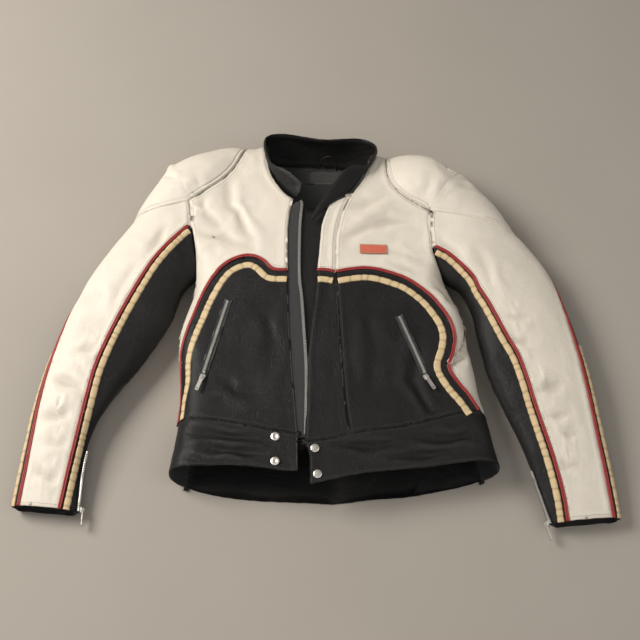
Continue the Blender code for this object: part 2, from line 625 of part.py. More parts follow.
def sleeve_turns(side):
    """Angles round the armhole where the columns of the sleeve's pieces begin."""
    pad_turn = turn_of(side["pad_fraction"])
    white_end = turn_of(side["sleeve"][0][6])
    near = moved_turn(side, 0.0, white_end, SLEEVE_STRIPE_FROM_PIPING)
    far = min(moved_turn(side, 0.0, near, SLEEVE_STRIPE_WIDTH), pi - 0.20)
    return {
        "cross": [pad_turn + (-BACK_TURN - pad_turn) * n / CROSS_SEGMENTS
                  for n in range(CROSS_SEGMENTS + 1)],
        "white": [pad_turn + (white_end - pad_turn) * n / ARMHOLE_WHITE_SEGMENTS
                  for n in range(ARMHOLE_WHITE_SEGMENTS + 1)],
        "black": [white_end, near, far, (far + pi) / 2, pi],
    }


def armhole_cloth(side, turn):
    out, up = armhole_place(side, (1 - cos(turn)) / 2)
    return cloth(side, out, up)


def armhole_cloth_under(side, turn):
    """The armhole past the shoulder's fold, in cloth coordinates that run on over the roll."""
    out, up = armhole_place(side, (1 - cos(turn)) / 2)
    start = read_table(side["shoulder"], out) - SHOULDER_RADIUS
    folded = asin(min(1.0, (up - start) / SHOULDER_RADIUS))
    return Vector((out, start + SHOULDER_RADIUS * (pi - folded)))


def build_fronts(name, side, edges):
    arch = edges["arch"]
    corner = ARCH_SEGMENTS[0]
    side_corner = corner + ARCH_SEGMENTS[1]
    inner = edges["front_edge"] + edges["neck"][1:]
    outer = edges["side"] + edges["armhole"][1:] + list(reversed(edges["pad"]))[1:]
    start, end = edges["neck"][-1], edges["pad"][0]
    top = [start.lerp(end, n / side_corner) for n in range(side_corner + 1)]
    underarm = len(edges["side"]) - 1
    valley = [WIDE_GAP + UNDERARM_GAP * max(0.0, 1 - abs(j - underarm) / 4) for j in range(len(outer))]
    for j in range(len(outer) - len(edges["pad"]), len(outer)):
        valley[j] = PAD_GAP
    body_sheet("chest_" + name, side, patch(arch[:side_corner + 1], top, inner, outer),
               "white leather", gaps={"last_column": valley, "last_row": WIDE_GAP})

    right_edge = list(reversed(arch[corner:]))
    waist = cloth_line(side, side["waist"], corner)
    waist[-1] = arch[-1]
    low_edge = edges["front_edge_low"]
    waist[0] = low_edge[0]
    body_sheet("front_lower_" + name, side, patch(waist, arch[:corner + 1], low_edge, right_edge),
               "black leather")
    return waist


def build_side_panel(name, side, edges):
    """The white strip round the side roll, from the waist to the underarm."""
    side_corner = ARCH_SEGMENTS[0] + ARCH_SEGMENTS[1]
    front_line = list(reversed(edges["arch"][side_corner:])) + edges["side"][1:]
    grid = []
    for at in front_line:
        radius = read_table(BODY_HEIGHT, at[1]) / 2
        end_turn = side_panel_end(at[1])
        end = Vector((read_table(side["reach"], at[1]) - radius + radius * end_turn, at[1]))
        grid.append([at.lerp(end, n / SIDE_PANEL_COLUMNS) for n in range(SIDE_PANEL_COLUMNS + 1)])
    body_sheet("side_panel_" + name, side, grid, "white leather",
               gaps={"first_column": WIDE_GAP, "first_row": WIDE_GAP, "last_row": UNDERARM_GAP})


def side_panel_end(up):
    """Angle round the roll where the side panel meets the back; it narrows towards the underarm."""
    return pi - (pi / 2 - 0.10) * ease((up + 0.02) / 0.095)


def build_shoulder_pad(name, side, edges):
    """The pad's body piece, from its seams with the chest to the cross seam at the armhole."""
    pad = edges["pad"]
    left = list(reversed(pad[:PAD_SIDE_SEGMENTS + 1]))
    bottom = pad[PAD_SIDE_SEGMENTS:]
    right = edges["cross"]
    back = []
    for n in range(PAD_FRONT_SEGMENTS + 1):
        out = pad[0][0] + (right[-1][0] - pad[0][0]) * n / PAD_FRONT_SEGMENTS
        back.append(shoulder_end(side, out))
    back[0] = left[-1]
    back[-1] = right[-1]
    body_sheet("shoulder_pad_" + name, side, patch(bottom, back, left, right), "white leather",
               gaps={"first_column": WIDE_GAP, "last_column": WIDE_GAP})
    return back


def sleeve_sheet(name, side, places, material, thickness=LEATHER, lift=0.0, gaps=None):
    """A sleeve piece from a grid of (station, angle) places."""
    grid = inset([[sleeve_point(side, k, turn) for k, turn in row] for row in places], **(gaps or {}))
    j = len(places) // 2
    i = len(places[0]) // 2
    towards = sleeve_normal(side, places[j][i][0], places[j][i][1])
    if lift:
        grid = [[point + sleeve_normal(side, k, turn) * lift for point, (k, turn) in zip(points, row)]
                for points, row in zip(grid, places)]
    return sheet(name, grid, thickness, material, towards)


def sleeve_rows(side):
    """Stations of the sleeve's rows; the first three lie beside the shoulder pad."""
    last = len(side["sleeve"]) - 1
    start = side["pad_end"] + 0.7
    near = [start * n / PAD_ROWS for n in range(PAD_ROWS)]
    rest = SLEEVE_ROWS - PAD_ROWS
    return near + [start + (last - start) * n / rest for n in range(rest + 1)]


def build_sleeve(name, side, edges):
    turns = edges["turns"]
    pad_turn = turns["cross"][0]
    pad_end = side["pad_end"]
    back_k = pad_end + 0.2
    seam = []
    for n in range(CAP_SEGMENTS + 1):
        share = n / CAP_SEGMENTS
        seam.append((pad_end * share, pad_turn * (1 - share) ** 1.2))
    end = [(pad_end + 0.2 * n / CROSS_SEGMENTS, -BACK_TURN * n / CROSS_SEGMENTS)
           for n in range(CROSS_SEGMENTS + 1)]
    cross = [(0.0, turn) for turn in turns["cross"]]
    back = [(back_k * n / CAP_SEGMENTS, -BACK_TURN) for n in range(CAP_SEGMENTS + 1)]
    corners = patch([Vector(p) for p in seam], [Vector(p) for p in back],
                    [Vector(p) for p in cross], [Vector(p) for p in end])
    sleeve_sheet("sleeve_cap_" + name, side, corners, "white leather",
                 gaps={"first_column": WIDE_GAP, "first_row": WIDE_GAP, "last_column": WIDE_GAP,
                       "last_row": PAD_GAP})

    rows = sleeve_rows(side)
    start = list(reversed(end)) + list(reversed(seam))[1:] + [(0.0, turn) for turn in turns["white"]][1:]
    spans = shares_along([Vector((turn, 0.0)) for _, turn in start])
    white = []
    for index, k in enumerate(rows):
        outer_turn, inner_turn = piping_turns(side, k)
        row = []
        for share, (start_k, start_turn) in zip(spans, start):
            turn = outer_turn + (inner_turn - outer_turn) * share
            if index < PAD_ROWS:
                blend = index / PAD_ROWS
                row.append((start_k + (rows[PAD_ROWS] - start_k) * blend,
                            start_turn + (turn - start_turn) * blend))
            else:
                row.append((k, turn))
        white.append(row)
    sleeve_sheet("sleeve_top_" + name, side, white, "white leather",
                 gaps={"first_row": WIDE_GAP, "first_column": PAD_GAP})

    black = [under_row(side, k, white[index][-1][1], white[index][0][1], index)
             for index, k in enumerate(rows)]
    # the seam is a sharp valley at the underarm, so the cut steps back there
    valley = [WIDE_GAP + UNDERARM_GAP * max(0.0, 1 - abs(turn - pi) / 1.2) for _, turn in black[0]]
    sleeve_sheet("sleeve_under_" + name, side, black, "black leather",
                 gaps={"first_column": WIDE_GAP, "last_column": PAD_GAP, "first_row": valley})
    return white, black


def piping_turns(side, k):
    """Angles of the outer and the inner piping beside the white sleeve panel."""
    if k <= side["pad_end"] + 0.2:
        outer = -BACK_TURN
    else:
        outer = station(side, k)[5]
    return outer, turn_of(station(side, k)[6])


def under_row(side, k, inner, outer, index):
    """Angles round the black under panel; its second and last but two columns carry the stripes."""
    near = moved_turn(side, k, inner, SLEEVE_STRIPE_FROM_PIPING)
    far = moved_turn(side, k, near, SLEEVE_STRIPE_WIDTH)
    if index == 0:
        near, far = sleeve_turns(side)["black"][1:3]
        middle, edge = (far + pi) / 2, pi
    else:
        edge = max(pi, far + 0.30)
        middle = (far + edge) / 2
    end = outer + 2 * pi
    last = moved_turn(side, k, end, -SLEEVE_STRIPE_FROM_PIPING)
    before = moved_turn(side, k, last, -SLEEVE_STRIPE_WIDTH)
    row = [inner, near, far, middle, edge]
    for n in range(1, UNDER_SEGMENTS + 1):
        row.append(edge + (before - edge) * n / UNDER_SEGMENTS)
    row += [last, end]
    return [(k, turn) for turn in row]


def build_placket(side, edges, waist):
    """The strip behind the right front edge: white above the arch, black below it."""
    arch_part = cloth_line(side, side["placket_arch"], PLACKET_COLUMNS)
    arch_part[-1] = edges["arch"][0]
    top = cloth_line(side, side["placket_top"], PLACKET_COLUMNS)
    top[-1] = edges["neck"][0]
    edge = cloth_line(side, side["placket_edge"], FRONT_EDGE_SEGMENTS)
    edge[0], edge[-1] = arch_part[0], top[0]
    body_sheet("placket_upper", side, patch(arch_part, top, edge, edges["front_edge"]), "white leather")
    bottom = cloth_line(side, side["placket_waist"], PLACKET_COLUMNS)
    bottom[-1] = waist[0]
    edge_low = cloth_line(side, side["placket_edge_low"], len(edges["front_edge_low"]) - 1)
    edge_low[0], edge_low[-1] = bottom[0], arch_part[0]
    body_sheet("placket_lower", side, patch(bottom, arch_part, edge_low, edges["front_edge_low"]),
               "black leather")
    body_trim("piping_placket", side, arch_part, -PIPING_WIDTH / 2, PIPING_WIDTH / 2, PIPING_HEIGHT,
              "red piping", {"last_row": PAD_GAP})
    body_trim("stripe_placket", side, arch_part, STRIPE_FROM_PIPING, STRIPE_FROM_PIPING + STRIPE_WIDTH,
              TRIM_THICKNESS, "cream stripe")
    return bottom, top


def body_trim(name, side, line, low, high, thickness, material, gaps=None):
    """A ribbon beside a line on the body, between two distances from it."""
    grid = []
    for index, point in enumerate(line):
        before = line[max(index - 1, 0)]
        after = line[min(index + 1, len(line) - 1)]
        way = (after - before).normalized()
        across = Vector((way.y, -way.x))
        grid.append([point + across * low, point + across * high])
    return body_sheet(name, side, grid, material, thickness, LEATHER + TRIM_LIFT, gaps)


def build_front_trims(name, side, edges):
    body_trim("piping_front_" + name, side, edges["arch"], -PIPING_WIDTH / 2, PIPING_WIDTH / 2,
              PIPING_HEIGHT, "red piping", {"first_row": PAD_GAP})
    body_trim("stripe_front_" + name, side, edges["arch"], STRIPE_FROM_PIPING,
              STRIPE_FROM_PIPING + STRIPE_WIDTH, TRIM_THICKNESS, "cream stripe")


def build_sleeve_trims(name, side, white, black):
    """Piping beside the white sleeve panel and the stripes on the black one."""
    gaps = {"first_row": UNDERARM_GAP}
    half = PIPING_WIDTH / 2
    inner = [row[-1] for row in white]
    outer = [row[0] for row in white if row[0][1] > OUTER_PIPING_FROM]
    for label, line in (("inner", inner), ("outer", outer)):
        places = [[(k, moved_turn(side, k, turn, -half)), (k, moved_turn(side, k, turn, half))]
                  for k, turn in line]
        sleeve_sheet("piping_" + label + "_" + name, side, places, "red piping", PIPING_HEIGHT,
                     LEATHER + TRIM_LIFT, gaps)
    sleeve_sheet("stripe_inner_" + name, side, [row[1:3] for row in black], "cream stripe",
                 TRIM_THICKNESS, LEATHER + TRIM_LIFT, gaps)
    low_rows = [row[-3:-1] for row in black[-OUTER_STRIPE_ROWS:]]
    sleeve_sheet("stripe_outer_" + name, side, low_rows, "cream stripe", TRIM_THICKNESS,
                 LEATHER + TRIM_LIFT, gaps)


def side_edge(side, up, turn=BAND_END):
    """Cloth place at an angle round the side roll."""
    radius = read_table(BODY_HEIGHT, up) / 2
    return Vector((read_table(side["reach"], up) - radius + radius * turn, up))


def build_waistband_front(name, side, waist, placket_bottom):
    top = placket_bottom[:-1] + waist if placket_bottom else list(waist)
    front_segments = len(top) - 1
    top_end = side_edge(side, top[-1][1])
    top += [top[-1].lerp(top_end, (n + 1) / BAND_SIDE_SEGMENTS) for n in range(BAND_SIDE_SEGMENTS)]
    hem = cloth_line(side, side["hem"], front_segments)
    hem_end = side_edge(side, BACK_HEM[0 if side["sign"] < 0 else -1][1])
    hem += [hem[-1].lerp(hem_end, (n + 1) / BAND_SIDE_SEGMENTS) for n in range(BAND_SIDE_SEGMENTS)]
    if placket_bottom:
        end = cloth_line(side, side["extension_end"], BAND_ROWS)
        end[0], end[-1] = hem[0], top[0]
    else:
        end = [hem[0].lerp(top[0], n / BAND_ROWS) for n in range(BAND_ROWS + 1)]
    side_line = [hem[-1].lerp(top[-1], n / BAND_ROWS) for n in range(BAND_ROWS + 1)]
    body_sheet("waistband_front_" + name, side, patch(hem, top, end, side_line), "black leather",
               gaps={"last_column": WIDE_GAP, "last_row": WIDE_GAP})


def under_sheet(name, plan, thickness, material, lift=0.0, upward=False, gaps=None):
    """A sheet on the underside of the body from a grid of (x, y) places."""
    grid = []
    for row in inset(plan, **(gaps or {})):
        points = []
        for x, y in row:
            side = SIDES["left" if x < 0 else "right"]
            points.append(under_point(side, abs(x), y) + Vector((0, 0, lift)))
        grid.append(points)
    return sheet(name, grid, thickness, material, Vector((0, 0, 1 if upward else -1)))


def plan_place(point):
    return Vector((point.x, point.y))


def back_side_line(side, edges, black):
    """The back panel's edge on one side: the side panel's back edge, then the armhole."""
    line = []
    side_corner = ARCH_SEGMENTS[0] + ARCH_SEGMENTS[1]
    for at in list(reversed(edges["arch"][side_corner:])) + edges["side"][1:]:
        end = side_edge(side, at[1], side_panel_end(at[1]))
        line.append(plan_place(body_point(side, end[0], end[1])))
    line.pop()
    edge = [turn for _, turn in black[0] if turn >= pi - 1e-6]
    line += [plan_place(armhole_point(side, turn)) for turn in edge]
    return line


def shoulder_line(side, edges, pad_back):
    """Plan of the seam behind the shoulder, from the armhole to the neck."""
    line = list(reversed(pad_back))
    line += [edges["pad"][0].lerp(edges["neck"][-1], n / 2) for n in (1, 2)]
    return [plan_place(body_point(side, p[0], p[1])) for p in line]


def back_neck_line(left_end, right_end):
    points = [left_end] + [Vector(p) for p in BACK_NECK] + [right_end]
    return resample(points, BACK_NECK_SEGMENTS)


def build_back(parts):
    left, right = parts["left"], parts["right"]
    left_line = back_side_line(SIDES["left"], left["edges"], left["black"])
    right_line = back_side_line(SIDES["right"], right["edges"], right["black"])
    left_shoulder = shoulder_line(SIDES["left"], left["edges"], left["pad_back"])
    right_shoulder = shoulder_line(SIDES["right"], right["edges"], right["pad_back"])
    neck = back_neck_line(left_shoulder[-1], right_shoulder[-1])
    top = left_shoulder + neck[1:-1] + list(reversed(right_shoulder))
    top[0], top[-1] = left_line[-1], right_line[-1]
    columns = len(top) - 1
    bottom = []
    for n in range(columns + 1):
        x = left_line[0].x + (right_line[0].x - left_line[0].x) * n / columns
        bottom.append(Vector((x, read_table(BACK_WAIST, x))))
    bottom[0], bottom[-1] = left_line[0], right_line[0]
    under_sheet("back_panel", patch(bottom, top, left_line, right_line), LEATHER, "white leather",
                gaps={"first_column": PAD_GAP, "last_column": PAD_GAP, "first_row": WIDE_GAP,
                      "last_row": PAD_GAP})

    hem = resample(BACK_HEM, BAND_BACK_COLUMNS)
    waist = []
    for n in range(BAND_BACK_COLUMNS + 1):
        x = hem[0].x + (hem[-1].x - hem[0].x) * n / BAND_BACK_COLUMNS
        waist.append(Vector((x, read_table(BACK_WAIST, x))))
    for index, name in ((0, "left"), (-1, "right")):
        place = side_edge(SIDES[name], waist[index].y)
        waist[index] = plan_place(body_point(SIDES[name], place[0], place[1]))
    ends = [[hem[index].lerp(waist[index], n / BAND_ROWS) for n in range(BAND_ROWS + 1)]
            for index in (0, -1)]
    under_sheet("waistband_back", patch(hem, waist, ends[0], ends[1]), LEATHER, "black leather",
                gaps={"first_column": WIDE_GAP, "last_column": WIDE_GAP, "last_row": WIDE_GAP})
    return neck


def rectangle(box, columns, rows):
    left, right, low, high = box
    return [[Vector((left + (right - left) * i / columns, low + (high - low) * j / rows))
             for i in range(columns + 1)] for j in range(rows + 1)]


def build_linings():
    left, right, top = resample(LINING_LEFT, 12), resample(LINING_RIGHT, 12), resample(LINING_TOP, 8)
    bottom = [left[0].lerp(right[0], n / 8) for n in range(9)]
    under_sheet("lining_back", patch(bottom, top, left, right), LINING, "black lining", LINING_LIFT, True)
    under_sheet("neck_label", rectangle(LABEL_BOX, 4, 2), LINING, "black lining",
                LINING_LIFT + LINING + WIDE_GAP, True)


def strip_between(side, inner, outer, segments):
    first = cloth_line(side, inner, segments)
    second = cloth_line(side, outer, segments)
    return [[a, a.lerp(b, 0.5), b] for a, b in zip(first, second)]


def build_zip_and_flap():
    left, right = SIDES["left"], SIDES["right"]
    body_sheet("zip_tape_left", left, strip_between(left, TAPE_TEETH, TAPE_SEAM, 16), "black tape",
               TAPE_THICKNESS, -TAPE_DEPTH)
    body_sheet("zip_tape_right", right, strip_between(right, HIDDEN_TAPE_TEETH, HIDDEN_TAPE_SEAM, 16),
               "black tape", TAPE_THICKNESS, -TAPE_DEPTH)
    flap = []
    for row in rectangle((FLAP["right"], FLAP["left"], FLAP["bottom"], FLAP["top"]), 4, 14):
        sunk = FLAP["depth"] - FLAP["seam_depth"]
        shares = [1.0, 1.0, 1.0, 0.6, 0.0]
        flap.append([on_body(left, at, -FLAP["seam_depth"] - sunk * share) for at, share in zip(row, shares)])
    sheet("wind_flap", flap, LEATHER, "black leather", Vector((0, 0, 1)))


def build_collar(parts, back_neck, placket_top):
    """The stand with its folded front leaves, from a seam line just inside the neck."""
    seam = []
    for name in ("left", "right"):
        side = SIDES[name]
        line = [body_point(side, p[0], p[1]) for p in parts[name]["edges"]["neck"]]
        if name == "left":
            seam += line
            for place in back_neck[1:-1]:
                half = SIDES["left" if place.x < 0 else "right"]
                seam.append(under_point(half, abs(place.x), place.y) + Vector((0, 0, WIDE_GAP)))
        else:
            seam += reversed(line)
            seam += [body_point(side, p[0], p[1]) for p in reversed(placket_top[:-1])]
    tops = SIDES["left"]["collar"] + SIDES["right"]["collar"]
    fine = smooth_points(tops, 6)
    grid = [[] for _ in range(COLLAR_ROWS + 1)]
    outwards = []
    for index in range(len(seam)):
        way = seam[min(index + 2, len(seam) - 1)] - seam[max(index - 2, 0)]
        outwards.append(Vector((-way.y, way.x, 0.0)).normalized())
    for index, (base, outward) in enumerate(zip(seam, outwards)):
        base = base - outward * (COLLAR_THICKNESS + COLLAR_GAP)
        if index > len(seam) - 1 - PLACKET_COLUMNS:
            base = base + Vector((0, 0, COLLAR_GAP))
        top = top_of_collar(fine, index)
        for j in range(COLLAR_ROWS + 1):
            share = j / COLLAR_ROWS
            grid[j].append(base.lerp(top, share) + outward * (COLLAR_BOW * sin(pi * share)))
    sheet("collar", grid, COLLAR_THICKNESS, "black leather", Vector((0, 1, 0)))
    return grid


def top_of_collar(fine, place):
    for low, high in zip(fine, fine[1:]):
        if place <= high[0]:
            share = min(max((place - low[0]) / (high[0] - low[0]), 0.0), 1.0)
            mixed = low.lerp(high, share)
            return Vector((mixed[1], mixed[2], mixed[3]))
    return Vector(fine[-1][1:])


def frame_at(point, normal, heading):
    """Matrix with its X along the heading and its Z along the normal."""
    z = normal.normalized()
    x = (heading - z * heading.dot(z)).normalized()
    y = z.cross(x)
    matrix = Matrix((x, y, z)).transposed().to_4x4()
    matrix.translation = point
    return matrix


def place_object(name, mesh, matrix, material, smooth=False):
    if smooth:
        mesh.shade_smooth()
    obj = bpy.data.objects.new(name, mesh)
    link(obj, JACKET, ROOT, material)
    obj.matrix_local = matrix
    return obj


def prism(name, outline, holes, low, high, flat="XY"):
    """A flat outline with holes, given a thickness; XZ outlines stand on edge."""
    mesh = bpy.data.meshes.new(name)
    work = bmesh.new()
    loops = [outline] + holes
    edges = []
    for loop in loops:
        verts = [work.verts.new((a, b, low) if flat == "XY" else (a, low, b)) for a, b in loop]
        edges += [work.edges.new((verts[n], verts[(n + 1) % len(verts)])) for n in range(len(verts))]
    bmesh.ops.triangle_fill(work, use_beauty=True, use_dissolve=False, edges=edges)
    made = bmesh.ops.extrude_face_region(work, geom=work.faces[:])
    step = Vector((0, 0, high - low)) if flat == "XY" else Vector((0, high - low, 0))
    for item in made["geom"]:
        if isinstance(item, bmesh.types.BMVert):
            item.co += step
    bmesh.ops.recalc_face_normals(work, faces=work.faces[:])
    work.to_mesh(mesh)
    work.free()
    return mesh


def build_slider(name, matrix):
    """Slider body with the bridge that holds the pull."""
    length, width, height = SLIDER_SIZE
    half, half_width = length / 2, width / 2
    outline = ((-half, -half_width * 0.8), (-half * 0.6, -half_width), (half * 0.7, -half_width),
               (half, -half_width * 0.5), (half, half_width * 0.5), (half * 0.7, half_width),
               (-half * 0.6, half_width), (-half, half_width * 0.8))
    body = place_object(name, prism(name, outline, [], 0.0, height), matrix, "nickel")
    inner, wall = BRIDGE["inner_half"], BRIDGE["wall"]
    low, roof = height - 0.0004, height + BRIDGE["clear"]
    arch = ((-inner - wall, low), (-inner, low), (-inner, roof - 0.0004), (-inner + 0.0004, roof),
            (inner - 0.0004, roof), (inner, roof - 0.0004), (inner, low), (inner + wall, low),
            (inner + wall, roof + wall * 0.4), (inner, roof + wall), (-inner, roof + wall),
            (-inner - wall, roof + wall * 0.4))
    half_bridge = BRIDGE["width"] / 2
    bridge = bpy.data.objects.new(name + "_bridge",
                                  prism(name + "_bridge", arch, [], -half_bridge, half_bridge, "XZ"))
    HELPERS.objects.link(bridge)
    bridge.parent = ROOT
    bridge.matrix_local = matrix
    bridge.hide_render = True
    bridge.display_type = "WIRE"
    join = body.modifiers.new("bridge", "BOOLEAN")
    join.operation = "UNION"
    join.solver = "EXACT"
    join.object = bridge
    return body


def build_pull(name, matrix):
    """Pull tab; its origin lies on the axis of its crossbar."""
    long, half = PULL["length"], PULL["half_width"]
    thick = PULL["thickness"] / 2
    start, end, slot = PULL["slot_start"], PULL["slot_end"], PULL["slot_half_width"]
    outline = ((-thick, -half), (long - 0.0016, -half), (long, -half * 0.5), (long, half * 0.5),
               (long - 0.0016, half), (-thick, half))
    hole = ((start, -slot), (start, slot), (end, slot), (end, -slot))
    eye = [(long - 0.0040 + 0.0011 * cos(n * pi / 4), 0.0011 * sin(n * pi / 4)) for n in range(8)]
    axis = matrix @ Matrix.Translation((0, 0, PULL_AXIS_HEIGHT))
    return place_object(name, prism(name, outline, [hole, eye], -thick, thick), axis, "nickel")


def build_pocket_zip(name, side):
    top, bottom = [Vector(p) for p in side["pocket"]]
    line = [cloth(side, *top.lerp(bottom, n / 6)) for n in range(7)]
    half = POCKET_TAPE_WIDTH / 2
    body_trim("pocket_tape_" + name, side, line, -half, half, TAPE_THICKNESS, "black tape")
    at = cloth(side, bottom.x, bottom.y - 0.004)
    normal = body_normal(side, at[0], at[1])
    point = on_body(side, at, LEATHER + TRIM_LIFT + TAPE_THICKNESS + SLIDER_LIFT)
    pull_out, pull_up = side["pocket_pull"]
    ahead = cloth(side, bottom.x + pull_out / 2, bottom.y + pull_up / 2)
    heading = on_body(side, ahead) - on_body(side, line[-1])
    matrix = frame_at(point, normal, heading)
    build_slider("pocket_slider_" + name, matrix)
    build_pull("pocket_pull_" + name, matrix)


def build_cuff_zip(name, side):
    """Zip in the sleeve's inner edge at the cuff."""
    rows = sleeve_rows(side)[-CUFF_ZIP_ROWS:]
    half = CUFF_TAPE_WIDTH / 2
    places = [[(k, moved_turn(side, k, pi, half * step)) for step in (-1.0, -0.5, 0.0, 0.5, 1.0)]
              for k in rows]
    sleeve_sheet("cuff_tape_" + name, side, places, "black tape", TAPE_THICKNESS, LEATHER + CUFF_TAPE_LIFT)
    k = rows[-1] - 0.12
    normal = sleeve_normal(side, k, pi)
    point = sleeve_point(side, k, pi) + normal * (LEATHER + CUFF_TAPE_LIFT + TAPE_THICKNESS + SLIDER_LIFT)
    heading = sleeve_point(side, k, pi) - sleeve_point(side, k - 0.2, pi)
    matrix = frame_at(point, normal, heading)
    build_slider("cuff_slider_" + name, matrix)
    build_pull("cuff_pull_" + name, matrix)


def build_turned(name, profile, matrix, material="nickel"):
    """A round piece: its profile (radius, height) turned about Z."""
    mesh = bpy.data.meshes.new(name)
    points = [(radius, 0.0, height) for radius, height in profile]
    mesh.from_pydata(points, [(n, n + 1) for n in range(len(points) - 1)], [])
    obj = place_object(name, mesh, matrix, material)
    screw = obj.modifiers.new("turned", "SCREW")
    screw.axis = "Z"
    screw.angle = 2 * pi
    screw.steps = SNAP_STEPS
    screw.render_steps = SNAP_STEPS
    screw.use_merge_vertices = True
    screw.merge_threshold = 1e-5
    screw.use_smooth_shade = True
    screw.use_normal_calculate = True
    return obj


def build_snaps(collar_grid):
    for name, (side_name_, out, up) in SNAP_PLACES.items():
        side = SIDES[side_name_]
        at = cloth(side, out, up)
        matrix = frame_at(on_body(side, at, LEATHER + WIDE_GAP), body_normal(side, at[0], at[1]),
                          Vector((1, 0, 0)))
        build_turned(name, SNAP_SOCKET if "socket" in name else SNAP_CAP, matrix)
    index = int(COLLAR_DOT["seam_place"])
    share = COLLAR_DOT["seam_place"] - index
    row = COLLAR_DOT["height"] * COLLAR_ROWS
    j = int(row)
    low, high = collar_grid[j], collar_grid[j + 1]
    corners = (low[index], low[index + 1], high[index], high[index + 1])
    along = (corners[1] - corners[0]) + (corners[3] - corners[2])
    upward = (corners[2] - corners[0]) + (corners[3] - corners[1])
    normal = along.cross(upward).normalized()
    point = (corners[0].lerp(corners[1], share)).lerp(corners[2].lerp(corners[3], share), row - j)
    radius = COLLAR_DOT["radius"]
    profile = ((0.0, 0.0), (radius, 0.0), (radius, 0.0008), (radius * 0.6, 0.0014), (0.0, 0.0016))
    build_turned("collar_dot", profile,
                 frame_at(point + normal * (COLLAR_THICKNESS + WIDE_GAP), normal, along), "black leather")


def build_hanger_loop():
    curve = bpy.data.curves.new("hanger_loop", "CURVE")
    curve.dimensions = "3D"
    spline = curve.splines.new("POLY")
    spline.points.add(len(LOOP_POINTS) - 1)
    for item, place in zip(spline.points, LOOP_POINTS):
        item.co = (*place, 1.0)
    curve.bevel_depth = LOOP_RADIUS
    curve.bevel_resolution = 1
    curve.use_fill_caps = True
    curve.resolution_u = 1
    curve.render_resolution_u = 0
    obj = bpy.data.objects.new("hanger_loop", curve)
    link(obj, JACKET, ROOT, "black lining")


def build_badge():
    left, right, low, high = BADGE_BOX
    side = SIDES["right"]
    grid = [[cloth(side, left + (right - left) * i / 3, low + (high - low) * j / 2) for i in range(4)]
            for j in range(3)]
    body_sheet("chest_badge", side, grid, "badge red", TRIM_THICKNESS, LEATHER + TRIM_LIFT)


clear_scene()
JACKET = bpy.data.collections.new("motorcycle_jacket")
bpy.context.scene.collection.children.link(JACKET)
HELPERS = bpy.data.collections.new("helpers")
bpy.context.scene.collection.children.link(HELPERS)
ROOT = bpy.data.objects.new("jacket_origin", None)
ROOT.location = ORIGIN_SHIFT
JACKET.objects.link(ROOT)

built = {}
for side_name, side_data in SIDES.items():
    side_lines = side_edges(side_data)
    waist_line = build_fronts(side_name, side_data, side_lines)
    build_side_panel(side_name, side_data, side_lines)
    pad_back_line = build_shoulder_pad(side_name, side_data, side_lines)
    white_places, black_places = build_sleeve(side_name, side_data, side_lines)
    built[side_name] = {"edges": side_lines, "waist": waist_line, "pad_back": pad_back_line,
                        "black": black_places}
    build_front_trims(side_name, side_data, side_lines)
    build_sleeve_trims(side_name, side_data, white_places, black_places)
    build_pocket_zip(side_name, side_data)
    build_cuff_zip(side_name, side_data)
placket_bottom_line, placket_top_line = build_placket(SIDES["right"], built["right"]["edges"],
                                                      built["right"]["waist"])
build_waistband_front("left", SIDES["left"], built["left"]["waist"], None)
build_waistband_front("right", SIDES["right"], built["right"]["waist"], placket_bottom_line)
back_neck_places = build_back(built)
build_linings()
build_zip_and_flap()
collar_points = build_collar(built, back_neck_places, placket_top_line)
build_snaps(collar_points)
build_hanger_loop()
build_badge()
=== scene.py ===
import bpy
import bmesh
import math
import numpy as np
from mathutils import Matrix, Vector, noise
from mathutils.bvhtree import BVHTree
from mathutils.kdtree import KDTree


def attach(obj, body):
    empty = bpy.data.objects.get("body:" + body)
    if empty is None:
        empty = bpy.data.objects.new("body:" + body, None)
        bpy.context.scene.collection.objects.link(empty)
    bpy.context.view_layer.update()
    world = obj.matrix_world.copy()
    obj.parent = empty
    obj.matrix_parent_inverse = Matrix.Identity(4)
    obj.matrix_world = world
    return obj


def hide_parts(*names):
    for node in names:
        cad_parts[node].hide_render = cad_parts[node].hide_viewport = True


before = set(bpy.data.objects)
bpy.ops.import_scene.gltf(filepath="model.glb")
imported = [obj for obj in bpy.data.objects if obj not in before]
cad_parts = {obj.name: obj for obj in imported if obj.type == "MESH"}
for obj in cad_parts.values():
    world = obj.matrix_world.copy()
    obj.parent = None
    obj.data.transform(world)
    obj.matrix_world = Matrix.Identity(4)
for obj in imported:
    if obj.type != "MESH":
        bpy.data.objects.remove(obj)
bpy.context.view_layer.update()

# The place where the jacket is photographed: it lies on its back on a pale matt floor, seen from
# two thirds of the way up, in soft light from a wide window of cloth above its left shoulder.
VIEW_TARGET = Vector((0.0065, 0.0007, 0.03))
VIEW_DISTANCE = 1.749
VIEW_ELEVATION = math.radians(60)
VIEW_LENS = 61.06
FLOOR_SIZE = 14.0
FLOOR_HEIGHT = -0.0004
FLOOR_COLOUR = (0.36, 0.33, 0.29)
FLOOR_SPECKLE = (0.33, 0.30, 0.265)
SKY_COLOUR = (1.0, 0.97, 0.93)
SKY_STRENGTH = 0.24
LAMPS = (
    # name, place, width, watts, colour
    ("window", (-1.9, 0.55, 1.75), 1.2, 78.0, (1.0, 0.955, 0.89)),
    ("filler", (1.6, -0.6, 1.8), 2.2, 14.0, (1.0, 0.97, 0.94)),
    ("front", (-0.4, -1.9, 2.2), 1.6, 12.0, (1.0, 0.98, 0.95)),
)



def put(name, data):
    """A new object in the scene."""
    made = bpy.data.objects.new(name, data)
    bpy.context.scene.collection.objects.link(made)
    return made


